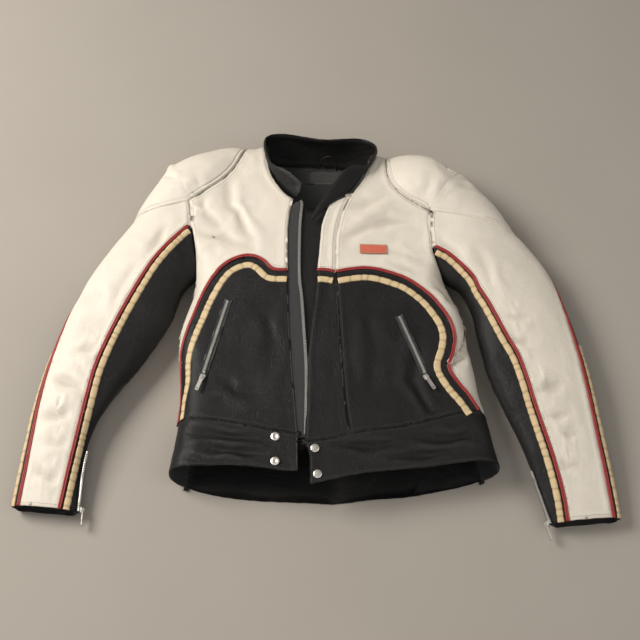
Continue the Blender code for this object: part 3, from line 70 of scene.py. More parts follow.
camera_data = bpy.data.cameras.new("view_camera")
camera_data.lens = VIEW_LENS
camera_data.clip_start = 0.01
camera = put("view_camera", camera_data)
view_way = Vector((0, -math.cos(VIEW_ELEVATION), math.sin(VIEW_ELEVATION)))
camera.location = VIEW_TARGET + view_way * VIEW_DISTANCE
camera.rotation_euler = (-view_way).to_track_quat("-Z", "Y").to_euler()
bpy.context.scene.camera = camera
bpy.context.scene.view_settings.view_transform = "Standard"

for lamp_name, place, width, watts, colour in LAMPS:
    lamp_data = bpy.data.lights.new(lamp_name, "AREA")
    lamp_data.size = width
    lamp_data.energy = watts
    lamp_data.color = colour
    lamp = put(lamp_name, lamp_data)
    lamp.location = place
    lamp.rotation_euler = (VIEW_TARGET - Vector(place)).to_track_quat("-Z", "Y").to_euler()

world = bpy.data.worlds.new("soft_room")
bpy.context.scene.world = world
world.use_nodes = True
world.node_tree.nodes["Background"].inputs["Color"].default_value = (*SKY_COLOUR, 1.0)
world.node_tree.nodes["Background"].inputs["Strength"].default_value = SKY_STRENGTH


def add_node(tree, kind, values=None, **settings):
    """A shader node with its settings and the values of its unlinked sockets."""
    made = tree.nodes.new(kind)
    for key, value in settings.items():
        setattr(made, key, value)
    for key, value in (values or {}).items():
        made.inputs[key].default_value = value
    return made


def add_pattern(tree, kind, values=None, **settings):
    """A texture node in the object's own coordinates."""
    made = add_node(tree, kind, values, **settings)
    tree.links.new(add_node(tree, "ShaderNodeTexCoord").outputs["Object"], made.inputs["Vector"])
    return made


class Finish:
    """A material's nodes, made and joined by short calls."""

    def __init__(self, name, roughness, metallic=0.0, slot=None):
        self.material = bpy.data.materials.new(name)
        if slot:
            self.material["slot"] = slot
        self.material.use_nodes = True
        self.tree = self.material.node_tree
        self.join = self.tree.links.new
        self.shader = self.tree.nodes["Principled BSDF"]
        self.inputs = self.shader.inputs
        self.inputs["Roughness"].default_value = roughness
        self.inputs["Metallic"].default_value = metallic

    def blend(self, factor, first, second, **settings):
        """A mix of two colours by a factor, of which the first may come from another node."""
        made = add_node(self.tree, "ShaderNodeMix", data_type="RGBA", **settings)
        if isinstance(first, tuple):
            made.inputs["A"].default_value = (*first, 1.0)
        else:
            self.join(first, made.inputs["A"])
        made.inputs["B"].default_value = (*second, 1.0)
        self.join(factor, made.inputs["Factor"])
        return made.outputs["Result"]

    def dull(self, value, low, high):
        """Roughness that runs from low to high with the middle of a noise."""
        made = add_node(self.tree, "ShaderNodeMapRange", {"From Min": 0.3, "From Max": 0.7,
                                                          "To Min": low, "To Max": high})
        self.join(value, made.inputs["Value"])
        self.join(made.outputs["Result"], self.inputs["Roughness"])

    def bump(self, height, distance):
        made = add_node(self.tree, "ShaderNodeBump", {"Distance": distance})
        self.join(height, made.inputs["Height"])
        self.join(made.outputs["Normal"], self.inputs["Normal"])


floor_finish = Finish("pale_floor", 0.85)
speckle = add_pattern(floor_finish.tree, "ShaderNodeTexNoise", {"Scale": 5.0, "Detail": 8.0})
floor_finish.join(floor_finish.blend(speckle.outputs["Fac"], FLOOR_COLOUR, FLOOR_SPECKLE),
                  floor_finish.inputs["Base Color"])
floor_mesh = bpy.data.meshes.new("floor")
half = FLOOR_SIZE / 2
floor_mesh.from_pydata([(x * half, y * half, FLOOR_HEIGHT) for x, y in ((-1, -1), (1, -1), (1, 1), (-1, 1))],
                       [], [(0, 1, 2, 3)])
floor_mesh.materials.append(floor_finish.material)
put("floor", floor_mesh)


# The leather of the whole jacket: cowhide about 1.4 mm thick with a rolled, pebbled top, dyed and
# sealed with a satin finish. It has pores, soft wrinkles where it bends and rubbed seams, and its colour
# carries painted shade in the troughs of its folds and painted light on their tops.
def new_group(name, entries, exits):
    """A node group with named numbers in and out."""
    tree = bpy.data.node_groups.new(name, "ShaderNodeTree")
    for way, labels in (("INPUT", entries), ("OUTPUT", exits)):
        for label in labels:
            tree.interface.new_socket(label, in_out=way, socket_type="NodeSocketFloat")
    return tree, tree.nodes.new("NodeGroupInput").outputs, tree.nodes.new("NodeGroupOutput").inputs


def math_node(tree, operation, first, second):
    made = tree.nodes.new("ShaderNodeMath")
    made.operation = operation
    for socket, value in ((made.inputs[0], first), (made.inputs[1], second)):
        if isinstance(value, (int, float)):
            socket.default_value = value
        else:
            tree.links.new(value, socket)
    return made.outputs[0]


WEAR_REACH = 0.35  # share of the seam's side that is rubbed


def hide_grain_group():
    """Pebbles, pores and fine wrinkles of a hide as one height, and a slow patchiness."""
    tree, entry, leave = new_group("hide_grain", ("Pebble", "Wrinkle"), ("Height", "Patches"))
    link = tree.links.new
    pebble = add_pattern(tree, "ShaderNodeTexVoronoi", feature="DISTANCE_TO_EDGE")
    link(entry["Pebble"], pebble.inputs["Scale"])
    rounded = add_node(tree, "ShaderNodeMapRange", {"From Max": 0.16}, interpolation_type="SMOOTHSTEP")
    link(pebble.outputs["Distance"], rounded.inputs["Value"])
    bent = add_pattern(tree, "ShaderNodeTexNoise", {"Scale": 60.0, "Detail": 3.0, "Roughness": 0.6,
                                                    "Distortion": 1.2})
    ridged = math_node(tree, "ABSOLUTE", math_node(tree, "SUBTRACT", bent.outputs["Fac"], 0.5), 0.0)
    creases = math_node(tree, "MULTIPLY", ridged, entry["Wrinkle"])
    slow = add_pattern(tree, "ShaderNodeTexNoise", {"Scale": 9.0, "Detail": 5.0, "Roughness": 0.6})
    grain = math_node(tree, "MULTIPLY", rounded.outputs["Result"], 0.25)
    link(math_node(tree, "ADD", grain, math_node(tree, "MULTIPLY", creases, 3.0)), leave["Height"])
    link(slow.outputs["Fac"], leave["Patches"])
    return tree


def wear_and_fold_shading_group():
    """Where a panel is rubbed or dirty near its sewn edges, with a painted highlight on the tops of its folds
    and painted shade in their troughs.
    """
    tree, entry, leave = new_group("wear_and_fold_shading", ("Amount",), ("RubAndRidgeLight", "DirtAndCreaseShade"))
    link = tree.links.new
    seam = add_node(tree, "ShaderNodeAttribute", attribute_name="seam").outputs["Fac"]
    fold = add_node(tree, "ShaderNodeAttribute", attribute_name="fold").outputs["Fac"]
    spots = add_pattern(tree, "ShaderNodeTexNoise", {"Scale": 130.0, "Detail": 6.0, "Roughness": 0.7})
    near = math_node(tree, "SUBTRACT", 1.0, math_node(tree, "DIVIDE", seam, WEAR_REACH))
    near = math_node(tree, "MAXIMUM", near, 0.0)
    rub_and_ridge_light = math_node(tree, "MULTIPLY", near, math_node(tree, "POWER", spots.outputs["Fac"], 2.0))
    # Painted light from the fold height: fold tops get a painted highlight and fold troughs get painted
    # shade.
    high = math_node(tree, "MAXIMUM", fold, 0.0)
    low = math_node(tree, "MAXIMUM", math_node(tree, "MULTIPLY", fold, -1.0), 0.0)
    rub_and_ridge_light = math_node(tree, "ADD", rub_and_ridge_light, math_node(tree, "MULTIPLY", high, 0.3))
    link(math_node(tree, "MULTIPLY", rub_and_ridge_light, entry["Amount"]), leave["RubAndRidgeLight"])
    # Spotty dirt near the seams, plus the painted shade of the fold troughs.
    dirt = math_node(tree, "MULTIPLY", near, spots.outputs["Fac"])
    link(math_node(tree, "ADD", math_node(tree, "MULTIPLY", dirt, 0.5), low), leave["DirtAndCreaseShade"])
    return tree


HIDE_GRAIN = hide_grain_group()
WEAR_AND_FOLD_SHADING = wear_and_fold_shading_group()


def leather(slot, colours, roughness, coat, pebble, wrinkle, depth, rub_and_ridge_light_amount, specular=0.5):
    """Hide in a light and a dark tone, a colour for dirt and painted crease shade and a colour for rubbed
    edges and painted light on fold tops, with its grain.
    """
    finish = Finish(slot + " hide", roughness[0], slot=slot)
    grain = add_node(finish.tree, "ShaderNodeGroup", {"Pebble": pebble, "Wrinkle": wrinkle},
                     node_tree=HIDE_GRAIN).outputs
    wear_and_shading = add_node(finish.tree, "ShaderNodeGroup", {"Amount": rub_and_ridge_light_amount}, node_tree=WEAR_AND_FOLD_SHADING).outputs
    mixed = colours[0]
    # The third colour follows dirt near seams and painted shade in fold troughs; the fourth follows rubbed
    # seams and painted light on fold tops.
    for mask, share, colour in zip((grain["Patches"], wear_and_shading["DirtAndCreaseShade"], wear_and_shading["RubAndRidgeLight"]), (1.0, 0.55, 1.0),
                                   colours[1:]):
        factor = math_node(finish.tree, "MULTIPLY", mask, share)
        mixed = finish.blend(factor, mixed, colour, clamp_factor=True)
    finish.join(mixed, finish.inputs["Base Color"])
    finish.dull(grain["Patches"], *roughness)
    finish.inputs["Coat Weight"].default_value = coat
    finish.inputs["Coat Roughness"].default_value = 0.35
    finish.inputs["Specular IOR Level"].default_value = specular
    finish.bump(grain["Height"], depth)
    return finish.material


# Colours: base, patchy tone, dirt colour that also paints shade in fold troughs, rubbed colour that also
# paints the fold tops.
WHITE = leather("white leather", ((0.78, 0.725, 0.63), (0.70, 0.64, 0.545), (0.46, 0.40, 0.32),
                                  (0.62, 0.55, 0.45)),
                (0.40, 0.56), 0.10, 620.0, 0.5, 0.0007, 0.55)
# The black hide's fourth colour, far lighter than its base, puts a painted highlight on its fold tops.
BLACK = leather("black leather", ((0.0060, 0.0060, 0.0062), (0.0095, 0.0092, 0.0090), (0.005, 0.005, 0.005),
                                  (0.060, 0.056, 0.052)),
                (0.36, 0.50), 0.02, 560.0, 0.55, 0.0008, 0.65, 0.24)


# The lining: a thin woven black cloth that backs every panel. Its weave shows as a fine cross
# of threads, dull along the threads and slightly shiny across them.
def weave_group():
    """Two crossing sets of threads as one height."""
    tree, entry, leave = new_group("weave", ("Threads",), ("Height",))
    heights = []
    for direction in ("X", "Y"):
        wave = add_pattern(tree, "ShaderNodeTexWave", {"Distortion": 0.4, "Detail": 1.0},
                           bands_direction=direction)
        tree.links.new(entry["Threads"], wave.inputs["Scale"])
        heights.append(wave.outputs["Fac"])
    tree.links.new(math_node(tree, "MULTIPLY", *heights), leave["Height"])
    return tree


WEAVE = weave_group()


def cloth(name, slot, colours, roughness, threads, depth, sheen):
    """Woven cloth with two thread colours."""
    finish = Finish(name, roughness, slot=slot)
    woven = add_node(finish.tree, "ShaderNodeGroup", {"Threads": threads}, node_tree=WEAVE).outputs["Height"]
    finish.join(finish.blend(woven, *colours), finish.inputs["Base Color"])
    finish.inputs["Sheen Weight"].default_value = sheen
    finish.bump(woven, depth)
    return finish.material


LINING = cloth("lining cloth", "black lining", ((0.006, 0.006, 0.007), (0.014, 0.014, 0.015)),
               0.62, 260.0, 0.0003, 0.2)


# The cut panels: each is one piece of leather with its edges turned in and sewn to the next, so it
# dips into the seam, stands up soft beside it and puckers. Folds lie where the jacket bends.
MILLIMETRE = 0.001
WELD = 1e-5
RIM_ANGLE = math.radians(50)
ALIKE_AREAS = 1.008
SEAM_DIP = 0.0006
SEAM_DIP_WIDTH = 0.0016
SEAM_ROLL = 0.0007
SEAM_ROLL_FROM = 0.0065
SEAM_ROLL_WIDTH = 0.0040
PUCKER = 0.0007
PUCKER_REACH = 0.011
PUCKER_PITCH = 0.010
SWELL_SIZE = 0.055
LUMP_SIZE = 0.020
SEAM_CALM = 0.012
FLOOR_GAP = 0.0002
SEAM_SCALE = 0.020
FOLD_SCALE = 0.003
FOLD_STRENGTH = 1.12

FRONT_FOLDS = (
    # depth, half width and places along the trough, in millimetres
    (3.4, 7.5, ((-150, 248), (-144, 192), (-129, 178), (-116, 142), (-100, 110))),
    (2.6, 7, ((-192, 217), (-187, 178), (-158, 150))),
    (2.8, 8, ((-188, 135), (-150, 129), (-102, 106))),
    (3.4, 9, ((44, 124), (89, 150), (118, 160), (159, 160))),
    (1.6, 10, ((43, 182), (89, 194), (123, 215))),
    (2, 6.5, ((119, 82), (143, 71), (165, 65))),
    (2, 6, ((124, 98), (150, 94), (178, 86))),
    (3, 6, ((192, 43), (209, 30), (216, 15))),
    (1.8, 9, ((193, 257), (188, 220), (171, 191))),
    (1.4, 9, ((-205, 262), (-196, 232), (-204, 206))),
    (3, 7.5, ((-373, -70), (-352, -68), (-333, -63))),
    (3.2, 8, ((-406, -113), (-375, -127), (-345, -137))),
    (3.6, 7, ((-414, -175), (-391, -180), (-369, -174))),
    (2.2, 6.5, ((-404, -218), (-385, -224), (-366, -219))),
    (2.6, 6.5, ((-415, -262), (-396, -273), (-377, -275))),
    (2.8, 9, ((-250, 151), (-258, 121), (-269, 96))),
    (1.8, 8, ((-290, 76), (-312, 40), (-320, 6))),
    (3.8, 11, ((202, 124), (224, 88), (244, 48))),
    (1.6, 8, ((262, 100), (276, 60), (284, 20))),
    (3, 7, ((301, -52), (316, -57), (335, -57))),
    (2.2, 6.5, ((300, -12), (318, -16), (338, -10))),
    (3.2, 8, ((334, -140), (356, -135), (380, -123))),
    (3, 6.5, ((347, -180), (366, -180), (385, -173))),
    (2.4, 5.5, ((372, -205), (382, -209), (393, -205))),
    (2, 6.5, ((352, -248), (372, -256), (396, -254))),
    (2.6, 7.5, ((163, -38), (147, -126), (172, -176), (230, -201))),
    (2.2, 8, ((-140, -126), (-120, -146), (-75, -150))),
    (1.6, 10, ((-80, 0), (-68, -60), (-72, -120))),
    (1.6, 10, ((80, -10), (90, -70), (84, -140))),
)
BAND_FOLDS = (
    (3.4, 5.5, ((-187, -210), (-127, -219), (-67, -226))),
    (4, 6, ((-165, -236), (-118, -243), (-75, -246))),
    (3, 5, ((-190, -252), (-140, -262), (-100, -263))),
    (3.6, 5.5, ((30, -232), (78, -236), (120, -230))),
    (3.4, 5, ((110, -252), (160, -248), (205, -240))),
    (4, 6, ((150, -221), (201, -222), (237, -214))),
)
BACK_FOLDS = (
    (2, 10, ((-190, 150), (-120, 130), (-50, 140))),
    (2, 10, ((40, 80), (110, 60), (190, 80))),
    (1.8, 9, ((-170, -60), (-90, -80), (-10, -70))),
)


def fold_height(points, folds):
    """Height that the folds add at each point: a trough with a softer ridge on each side."""
    plan = points[:, :2] / MILLIMETRE
    total = np.zeros(len(plan))
    for number, (depth, width, line) in enumerate(folds):
        nearest = np.full(len(plan), np.inf)
        along = np.zeros(len(plan))
        side = np.zeros(len(plan))
        corners = np.array(line)
        steps = len(corners) - 1
        for index in range(steps):
            start, way = corners[index], corners[index + 1] - corners[index]
            share = np.clip((plan - start) @ way / (way @ way), 0, 1)
            offset = plan - start - share[:, None] * way
            distance = np.hypot(offset[:, 0], offset[:, 1])
            closer = distance < nearest
            nearest = np.where(closer, distance, nearest)
            along = np.where(closer, (index + share) / steps, along)
            side = np.where(closer, np.sign(way[0] * offset[:, 1] - way[1] * offset[:, 0]), side)
        fade = np.sqrt(np.clip(np.sin(np.pi * np.clip(along, 0.02, 0.98)), 0, 1))
        reach = width * (1 + 0.25 * np.sin(9 * along + number))
        lean = 0.55 + 0.25 * side * math.cos(2.1 * number)
        ridge = np.exp(-((nearest - 2.1 * reach) / (1.1 * reach)) ** 2) * lean
        total += depth * fade * (ridge - np.exp(-(nearest / reach) ** 2))
    return total * FOLD_STRENGTH * MILLIMETRE


def slow_noise(points, size, seed):
    """Smooth noise about zero with lumps of one size, and another sample for each seed."""
    shift = Vector((seed * 3.7, seed * 1.3, seed * 7.9))
    return np.array([noise.noise(Vector(p) / size + shift) for p in points])


def faces_in_regions(bm):
    """Faces of a welded wall in groups that no rim parts, the two widest first."""
    left = set(bm.faces)
    regions = []
    while left:
        group = [left.pop()]
        for face in group:
            for edge in face.edges:
                if edge.calc_face_angle(0.0) > RIM_ANGLE:
                    continue
                for other in edge.link_faces:
                    if other in left:
                        left.remove(other)
                        group.append(other)
        regions.append(group)
    return sorted(regions, key=lambda group: -sum(face.calc_area() for face in group))


def rounded_wall(node, level, facing):
    """The solid's wall with smooth curved faces. Its lining side has the second material."""
    bm = bmesh.new()
    bm.from_mesh(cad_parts[node].data)
    bmesh.ops.remove_doubles(bm, verts=bm.verts, dist=WELD)
    bmesh.ops.join_triangles(bm, faces=bm.faces, angle_face_threshold=1.0, angle_shape_threshold=1.4)
    bmesh.ops.recalc_face_normals(bm, faces=bm.faces)
    crease = bm.edges.layers.float.new("crease_edge")
    for edge in bm.edges:
        if edge.calc_face_angle(0.0) > RIM_ANGLE:
            edge[crease] = 1.0
    outer, inner = faces_in_regions(bm)[:2]
    wide, narrow = (sum(face.calc_area() for face in group) for group in (outer, inner))
    alike = wide < narrow * ALIKE_AREAS
    if facing and alike and sum(face.normal.z * face.calc_area() for face in outer) * facing < 0:
        outer, inner = inner, outer
    parts = {face: 0 for face in outer}
    parts.update((face, 1) for face in inner)
    for face in bm.faces:
        face.smooth = True
        face.material_index = parts.get(face, 2)
    wall = modified(node + "_cage", finished(bm, node + "_cage"),
                    ("SUBSURF", {"levels": level, "render_levels": level}))
    marks = [face.material_index for face in wall.polygons]
    wall.attributes.new("outer_face", "BOOLEAN", "FACE").data.foreach_set("value", [m == 0 for m in marks])
    wall.polygons.foreach_set("material_index", [1 if mark == 1 and facing else 0 for mark in marks])
    return wall


def rim_places(mesh):
    """Points of the rim of the outer face, where it turns to the wall's edge."""
    bm = bmesh.new()
    bm.from_mesh(mesh)
    places = [vert.co.copy() for vert in bm.verts
              if any(edge.calc_face_angle(0.0) > RIM_ANGLE for edge in vert.link_edges)
              and any(face.material_index == 0 for face in vert.link_faces)]
    bm.free()
    return places


def finished(bm, name):
    """The mesh of a bmesh that isn't needed any more."""
    mesh = bpy.data.meshes.new(name)
    bm.to_mesh(mesh)
    bm.free()
    return mesh


def modified(name, mesh, *modifiers):
    """The mesh after modifiers, each a kind and its settings. The first mesh is removed."""
    cage = put(name, mesh)
    for kind, settings in modifiers:
        made = cage.modifiers.new(kind, kind)
        for key, value in settings.items():
            setattr(made, key, value)
    bpy.context.view_layer.update()
    result = bpy.data.meshes.new_from_object(cage.evaluated_get(bpy.context.evaluated_depsgraph_get()))
    bpy.data.objects.remove(cage)
    bpy.data.meshes.remove(mesh)
    return result


def value_attribute(mesh, name, values):
    mesh.attributes.new(name, "FLOAT", "POINT").data.foreach_set("value", np.asarray(values, np.float32))


def vertex_rows(mesh, name):
    """One row of three numbers for each vertex of a mesh."""
    values = np.zeros(len(mesh.vertices) * 3)
    mesh.vertices.foreach_get(name, values)
    return values.reshape(-1, 3)


def places_tree(places):
    tree = KDTree(len(places))
    for index, place in enumerate(places):
        tree.insert(place, index)
    tree.balance()
    return tree


def place_piece(name, mesh, *materials, nodes=()):
    """A piece of the jacket in one or two materials, which may stand for solids."""
    for material in materials:
        mesh.materials.append(material)
    piece = put(name, mesh)
    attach(piece, "jacket")
    if nodes:
        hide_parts(*nodes)
    return piece


dressed = {}


def dress(node, materials, folds=FRONT_FOLDS, level=3, facing=1, swell=0.0016):
    """A leather panel on its solid's form, with folds, seams and a slow swell."""
    mesh = rounded_wall(node, level, facing)
    points = vertex_rows(mesh, "co")
    rims = places_tree(rim_places(mesh))
    seam = np.array([rims.find(p)[2] for p in points])
    outer_tree = BVHTree.FromPolygons([v.co for v in mesh.vertices],
                                      [p.vertices for p in mesh.polygons if p.material_index == 0])
    ways = np.array([outer_tree.find_nearest(p)[1] for p in points])
    normals = vertex_rows(mesh, "normal")
    facing_out = np.sum(normals * ways, axis=1) > 0.7
    ways[facing_out] = normals[facing_out]
    seed = sum(ord(letter) for letter in node) % 23
    calm = 1 - np.exp(-(seam / SEAM_CALM) ** 2)
    heave = fold_height(points, folds) * (0.25 + 0.75 * calm)
    heave += swell * calm * slow_noise(points, SWELL_SIZE, seed)
    heave += 0.35 * swell * calm * slow_noise(points, LUMP_SIZE, seed + 5)
    value_attribute(mesh, "seam", np.clip(seam / SEAM_SCALE, 0, 1))
    # The fold height is kept for the hide's colour: painted shade in the troughs, painted light on the
    # ridges.
    value_attribute(mesh, "fold", np.clip(heave / FOLD_SCALE, -1, 1))
    heave -= SEAM_DIP * np.exp(-(seam / SEAM_DIP_WIDTH) ** 2)
    heave += SEAM_ROLL * np.exp(-((seam - SEAM_ROLL_FROM) / SEAM_ROLL_WIDTH) ** 2)
    heave += PUCKER * np.exp(-seam / PUCKER_REACH) * slow_noise(points, PUCKER_PITCH, seed + 9)
    points = points + ways * heave[:, None]
    points[:, 2] = np.maximum(points[:, 2], FLOOR_GAP)
    mesh.vertices.foreach_set("co", points.ravel())
    mesh.update()
    dressed[node] = place_piece(node + "_hide", mesh, *materials, nodes=(node,))


WHITE_PANELS = (
    # node, cut width, cut length, cut area
    ("chest_left", 0.190, 0.452, 0.0369),
    ("chest_right", 0.190, 0.437, 0.0349),
    ("side_panel_left", 0.062, 0.256, 0.0129),
    ("side_panel_right", 0.072, 0.251, 0.0172),
    ("sleeve_top_left", 0.150, 0.589, 0.0550),
    ("sleeve_top_right", 0.184, 0.582, 0.0649),
    ("placket_upper", 0.040, 0.154, 0.0040),
)
BLACK_PANELS = (
    ("front_lower_left", 0.190, 0.309, 0.0461),
    ("front_lower_right", 0.200, 0.280, 0.0445),
    ("placket_lower", 0.069, 0.294, 0.0145),
    ("sleeve_under_left", 0.186, 0.616, 0.1125),
    ("sleeve_under_right", 0.199, 0.617, 0.1213),
)
for node, width, length, area in WHITE_PANELS:
    dress(node, (WHITE, LINING), level=2 if node.startswith("chest") else 3)
for node, width, length, area in BLACK_PANELS:
    dress(node, (BLACK, LINING),
          facing=-1 if "under" in node else 1)


# The shoulder pads: a cup of white leather over foam on each shoulder, in two pieces that meet at
# the armhole in a fine seam. It is sewn down all round in a double seam, and the foam swells it.
PAD_GROW = 0.0021
PAD_VOXEL = 0.0026
PAD_CROWN = 0.0060
PAD_CROWN_WIDTH = 0.021
PAD_TOP = 0.035
PAD_TURN = -0.2
PAD_FOLD_SHARE = 0.8
PAD_LOW = 0.030
PAD_GROOVES = ((0.0066, 0.0014, 0.0013), (0.0008, 0.0015, 0.0013))
PAD_LUMPS = ((0.0011, 0.045), (0.0004, 0.016))
ARMHOLE_NEAR = 0.0090
ARMHOLE_GROOVE = (0.0013, 0.0020)
CUP_SEAMS = {
    # ends of the cup's lower seam on the sleeve, in plan
    "left": ((-0.2112, 0.1995), (-0.2993, 0.1805)),
    "right": ((0.1900, 0.1790), (0.3000, 0.1570)),
}
CUT_STEPS = 4
CROWN_ROUNDS = 24
pad_facts = []
pad_cuts = []


def outer_marks(mesh):
    marks = np.zeros(len(mesh.polygons), bool)
    mesh.attributes["outer_face"].data.foreach_get("value", marks)
    return marks


def face_tree(mesh, wanted):
    return BVHTree.FromPolygons([v.co for v in mesh.vertices],
                                [f.vertices for f, mark in zip(mesh.polygons, outer_marks(mesh))
                                 if mark == wanted])


def shoulder_part(wall, start, seam_way):
    """The part of the sleeve's top above the cup's lower seam, closed where it is cut, and that cut."""
    bm = bmesh.new()
    bm.from_mesh(wall)
    bmesh.ops.bisect_plane(bm, geom=bm.verts[:] + bm.edges[:] + bm.faces[:], plane_co=start,
                           plane_no=seam_way, clear_inner=True)
    outside = bm.faces.layers.bool["outer_face"]
    cut = [vert.co.copy() for vert in bm.verts if abs((vert.co - start).dot(seam_way)) < 1e-5
           and any(face[outside] for face in vert.link_faces)]
    row = [min(cut, key=lambda place: abs(place.x))]
    while len(row) < len(cut):
        left = [place for place in cut if place not in row]
        row.append(min(left, key=lambda place: (place - row[-1]).length))
    cut = [one.lerp(two, step / CUT_STEPS) for one, two in zip(row, row[1:]) for step in range(CUT_STEPS)]
    bmesh.ops.holes_fill(bm, edges=[edge for edge in bm.edges if edge.is_boundary], sides=0)
    return finished(bm, wall.name + "_part"), cut


def build_pad(name, nodes, sleeve_top, seam_line):
    """One cup from the body's and the sleeve's part of the pad, swollen and grooved."""
    start, end = (Vector((*place, 0.0)) for place in seam_line)
    seam_way = Vector((0, 0, 1)).cross((end - start).normalized())
    seam_way *= 1 if seam_way.y > 0 else -1
    walls = {node: rounded_wall(node, 3, 1) for node in (*nodes, sleeve_top)}
    rims = {node: rim_places(wall) for node, wall in walls.items()}
    rims[sleeve_top] = [p for p in rims[sleeve_top] if (p - start).dot(seam_way) > 0]
    part, cut = shoulder_part(walls[sleeve_top], start, seam_way)
    bm = bmesh.new()
    trees = []
    for wall in (walls[nodes[0]], walls[nodes[1]], part):
        trees.append((face_tree(wall, True), face_tree(wall, False)))
        grown = wall.copy()
        for vert in grown.vertices:
            vert.co += vert.normal * PAD_GROW
        bm.from_mesh(grown)
        bpy.data.meshes.remove(grown)
    near_rims = {node: places_tree(places) for node, places in rims.items()}
    shared, outline, inner = [], list(cut), []
    for node, places in rims.items():
        for place in places:
            near = [other for other, tree in near_rims.items()
                    if other != node and tree.find(place)[2] < ARMHOLE_NEAR]
            if not near:
                if node == nodes[0] or place.z < PAD_LOW:
                    outline.append(place)
            elif node == nodes[0]:
                shared.append(place)
            else:
                inner.append(place)
    armhole, border, hidden = (places_tree(places) for places in (shared, outline, inner))
    for node, wall in walls.items():
        pad_facts.append((node, wall, armhole, hidden, start, seam_way))
    pad_cuts.append((cut, seam_way))
    made = modified(name + "_cage", finished(bm, name + "_cage"),
                    ("REMESH", {"mode": "VOXEL", "voxel_size": PAD_VOXEL}),
                    ("SMOOTH", {"factor": 0.5, "iterations": 10}),
                    ("SUBSURF", {"levels": 1, "render_levels": 1}))
    count = len(made.vertices)
    crowns, dents, edge, fold = (np.zeros(count) for _ in range(4))
    faces_out = np.zeros(count, bool)
    for index, vert in enumerate(made.vertices):
        outside = min(pair[0].find_nearest(vert.co)[3] for pair in trees)
        inside = min(pair[1].find_nearest(vert.co)[3] for pair in trees)
        rim = border.find(vert.co)[2]
        edge[index] = rim
        faces_out[index] = outside < inside or (vert.normal.z > PAD_TURN and vert.co.z > PAD_TOP)
        if not faces_out[index]:
            continue
        crowns[index] = PAD_CROWN * (1 - math.exp(-(rim / PAD_CROWN_WIDTH) ** 2))
        for centre, width, depth in PAD_GROOVES:
            dents[index] += depth * math.exp(-((rim - centre) / width) ** 2)
        near = armhole.find(vert.co)[2]
        dent = ARMHOLE_GROOVE[0] * math.exp(-(near / ARMHOLE_GROOVE[1]) ** 2)
        lumps = sum(height * noise.noise(vert.co / size) for height, size in PAD_LUMPS)
        dents[index] = max(dents[index], dent) - lumps * min(1.0, rim / 0.01)
        # This value paints shade into the stitched grooves and the armhole groove and painted light onto the
        # lumps.
        fold[index] = max(-1.0, min(1.0, (lumps - dent) / FOLD_SCALE))
    ends = np.zeros(len(made.edges) * 2, int)
    made.edges.foreach_get("vertices", ends)
    one, two = ends[0::2], ends[1::2]
    links = np.bincount(ends, minlength=count)
    for _ in range(CROWN_ROUNDS):
        near = np.bincount(one, crowns[two], count) + np.bincount(two, crowns[one], count)
        crowns = np.where(faces_out, 0.5 * crowns + 0.5 * near / links, 0)
    raise_by = crowns - dents
    moved = vertex_rows(made, "co") + vertex_rows(made, "normal") * raise_by[:, None]
    heave = fold_height(moved, FRONT_FOLDS[8:10])
    moved[:, 2] += np.where(raise_by > 0, heave * PAD_FOLD_SHARE, 0)
    moved[:, 2] = np.maximum(moved[:, 2], FLOOR_GAP)
    made.vertices.foreach_set("co", moved.ravel())
    made.polygons.foreach_set("use_smooth", [True] * len(made.polygons))
    made.update()
    value_attribute(made, "seam", np.clip(edge / SEAM_SCALE, 0, 1))
    value_attribute(made, "fold", fold)
    dressed[name] = place_piece(name, made, WHITE, nodes=nodes)


for hand in ("left", "right"):
    build_pad("shoulder_cup_" + hand, ("shoulder_pad_" + hand, "sleeve_cap_" + hand),
              "sleeve_top_" + hand, CUP_SEAMS[hand])


# The waistband: black leather strips, one each side of the front and one across the back, turned
# in at top and hem and sewn to the body. It lies in long shallow folds along its length.
for node, width, length, area in (("waistband_front_left", 0.094, 0.197, 0.0181),
                                  ("waistband_front_right", 0.096, 0.288, 0.0252)):
    dress(node, (BLACK, LINING), folds=BAND_FOLDS)
dress("waistband_back", (BLACK, BLACK), folds=BACK_FOLDS, facing=-1)


# The back: one white panel that the jacket lies on, with the lining inside it and a plain woven
# neck label sewn to the lining. The label is left bare.
dress("back_panel", (WHITE, LINING), folds=BACK_FOLDS, facing=-1)
dress("lining_back", (LINING, LINING), folds=BACK_FOLDS)
LABEL_CLOTH = cloth("label cloth", "black lining", ((0.020, 0.019, 0.017), (0.035, 0.033, 0.029)),
                    0.55, 420.0, 0.0002, 0.3)
dress("neck_label", (LABEL_CLOTH, LABEL_CLOTH), swell=0.0004)


# The collar: a short stand of black leather, doubled, that rises from the neck seam and falls open
# in two soft leaves at the front.
dress("collar", (BLACK, BLACK), folds=(), facing=0, swell=0.0010)


# The zip down the front: woven black tape with metal teeth on its free edge, and a black leather
# flap behind it that keeps the wind out. The tape is sewn under the left front.
TAPE_CLOTH = cloth("tape cloth", "black tape", ((0.008, 0.008, 0.008), (0.022, 0.021, 0.020)), 0.70, 330.0,
                   0.0004, 0.3)
dress("zip_tape_left", (TAPE_CLOTH, TAPE_CLOTH), folds=(), level=2, swell=0.0004)
dress("zip_tape_right", (TAPE_CLOTH, TAPE_CLOTH), folds=(), level=2, swell=0.0004)
dress("wind_flap", (BLACK, LINING), folds=(), swell=0.0012)
for node, width, length, area in (("pocket_tape_left", 0.015, 0.137, 0.0020),
                                  ("pocket_tape_right", 0.015, 0.110, 0.0016),
                                  ("cuff_tape_left", 0.015, 0.096, 0.0014),
                                  ("cuff_tape_right", 0.015, 0.087, 0.0013)):
    dress(node, (TAPE_CLOTH, TAPE_CLOTH), folds=(), level=2, swell=0.0)


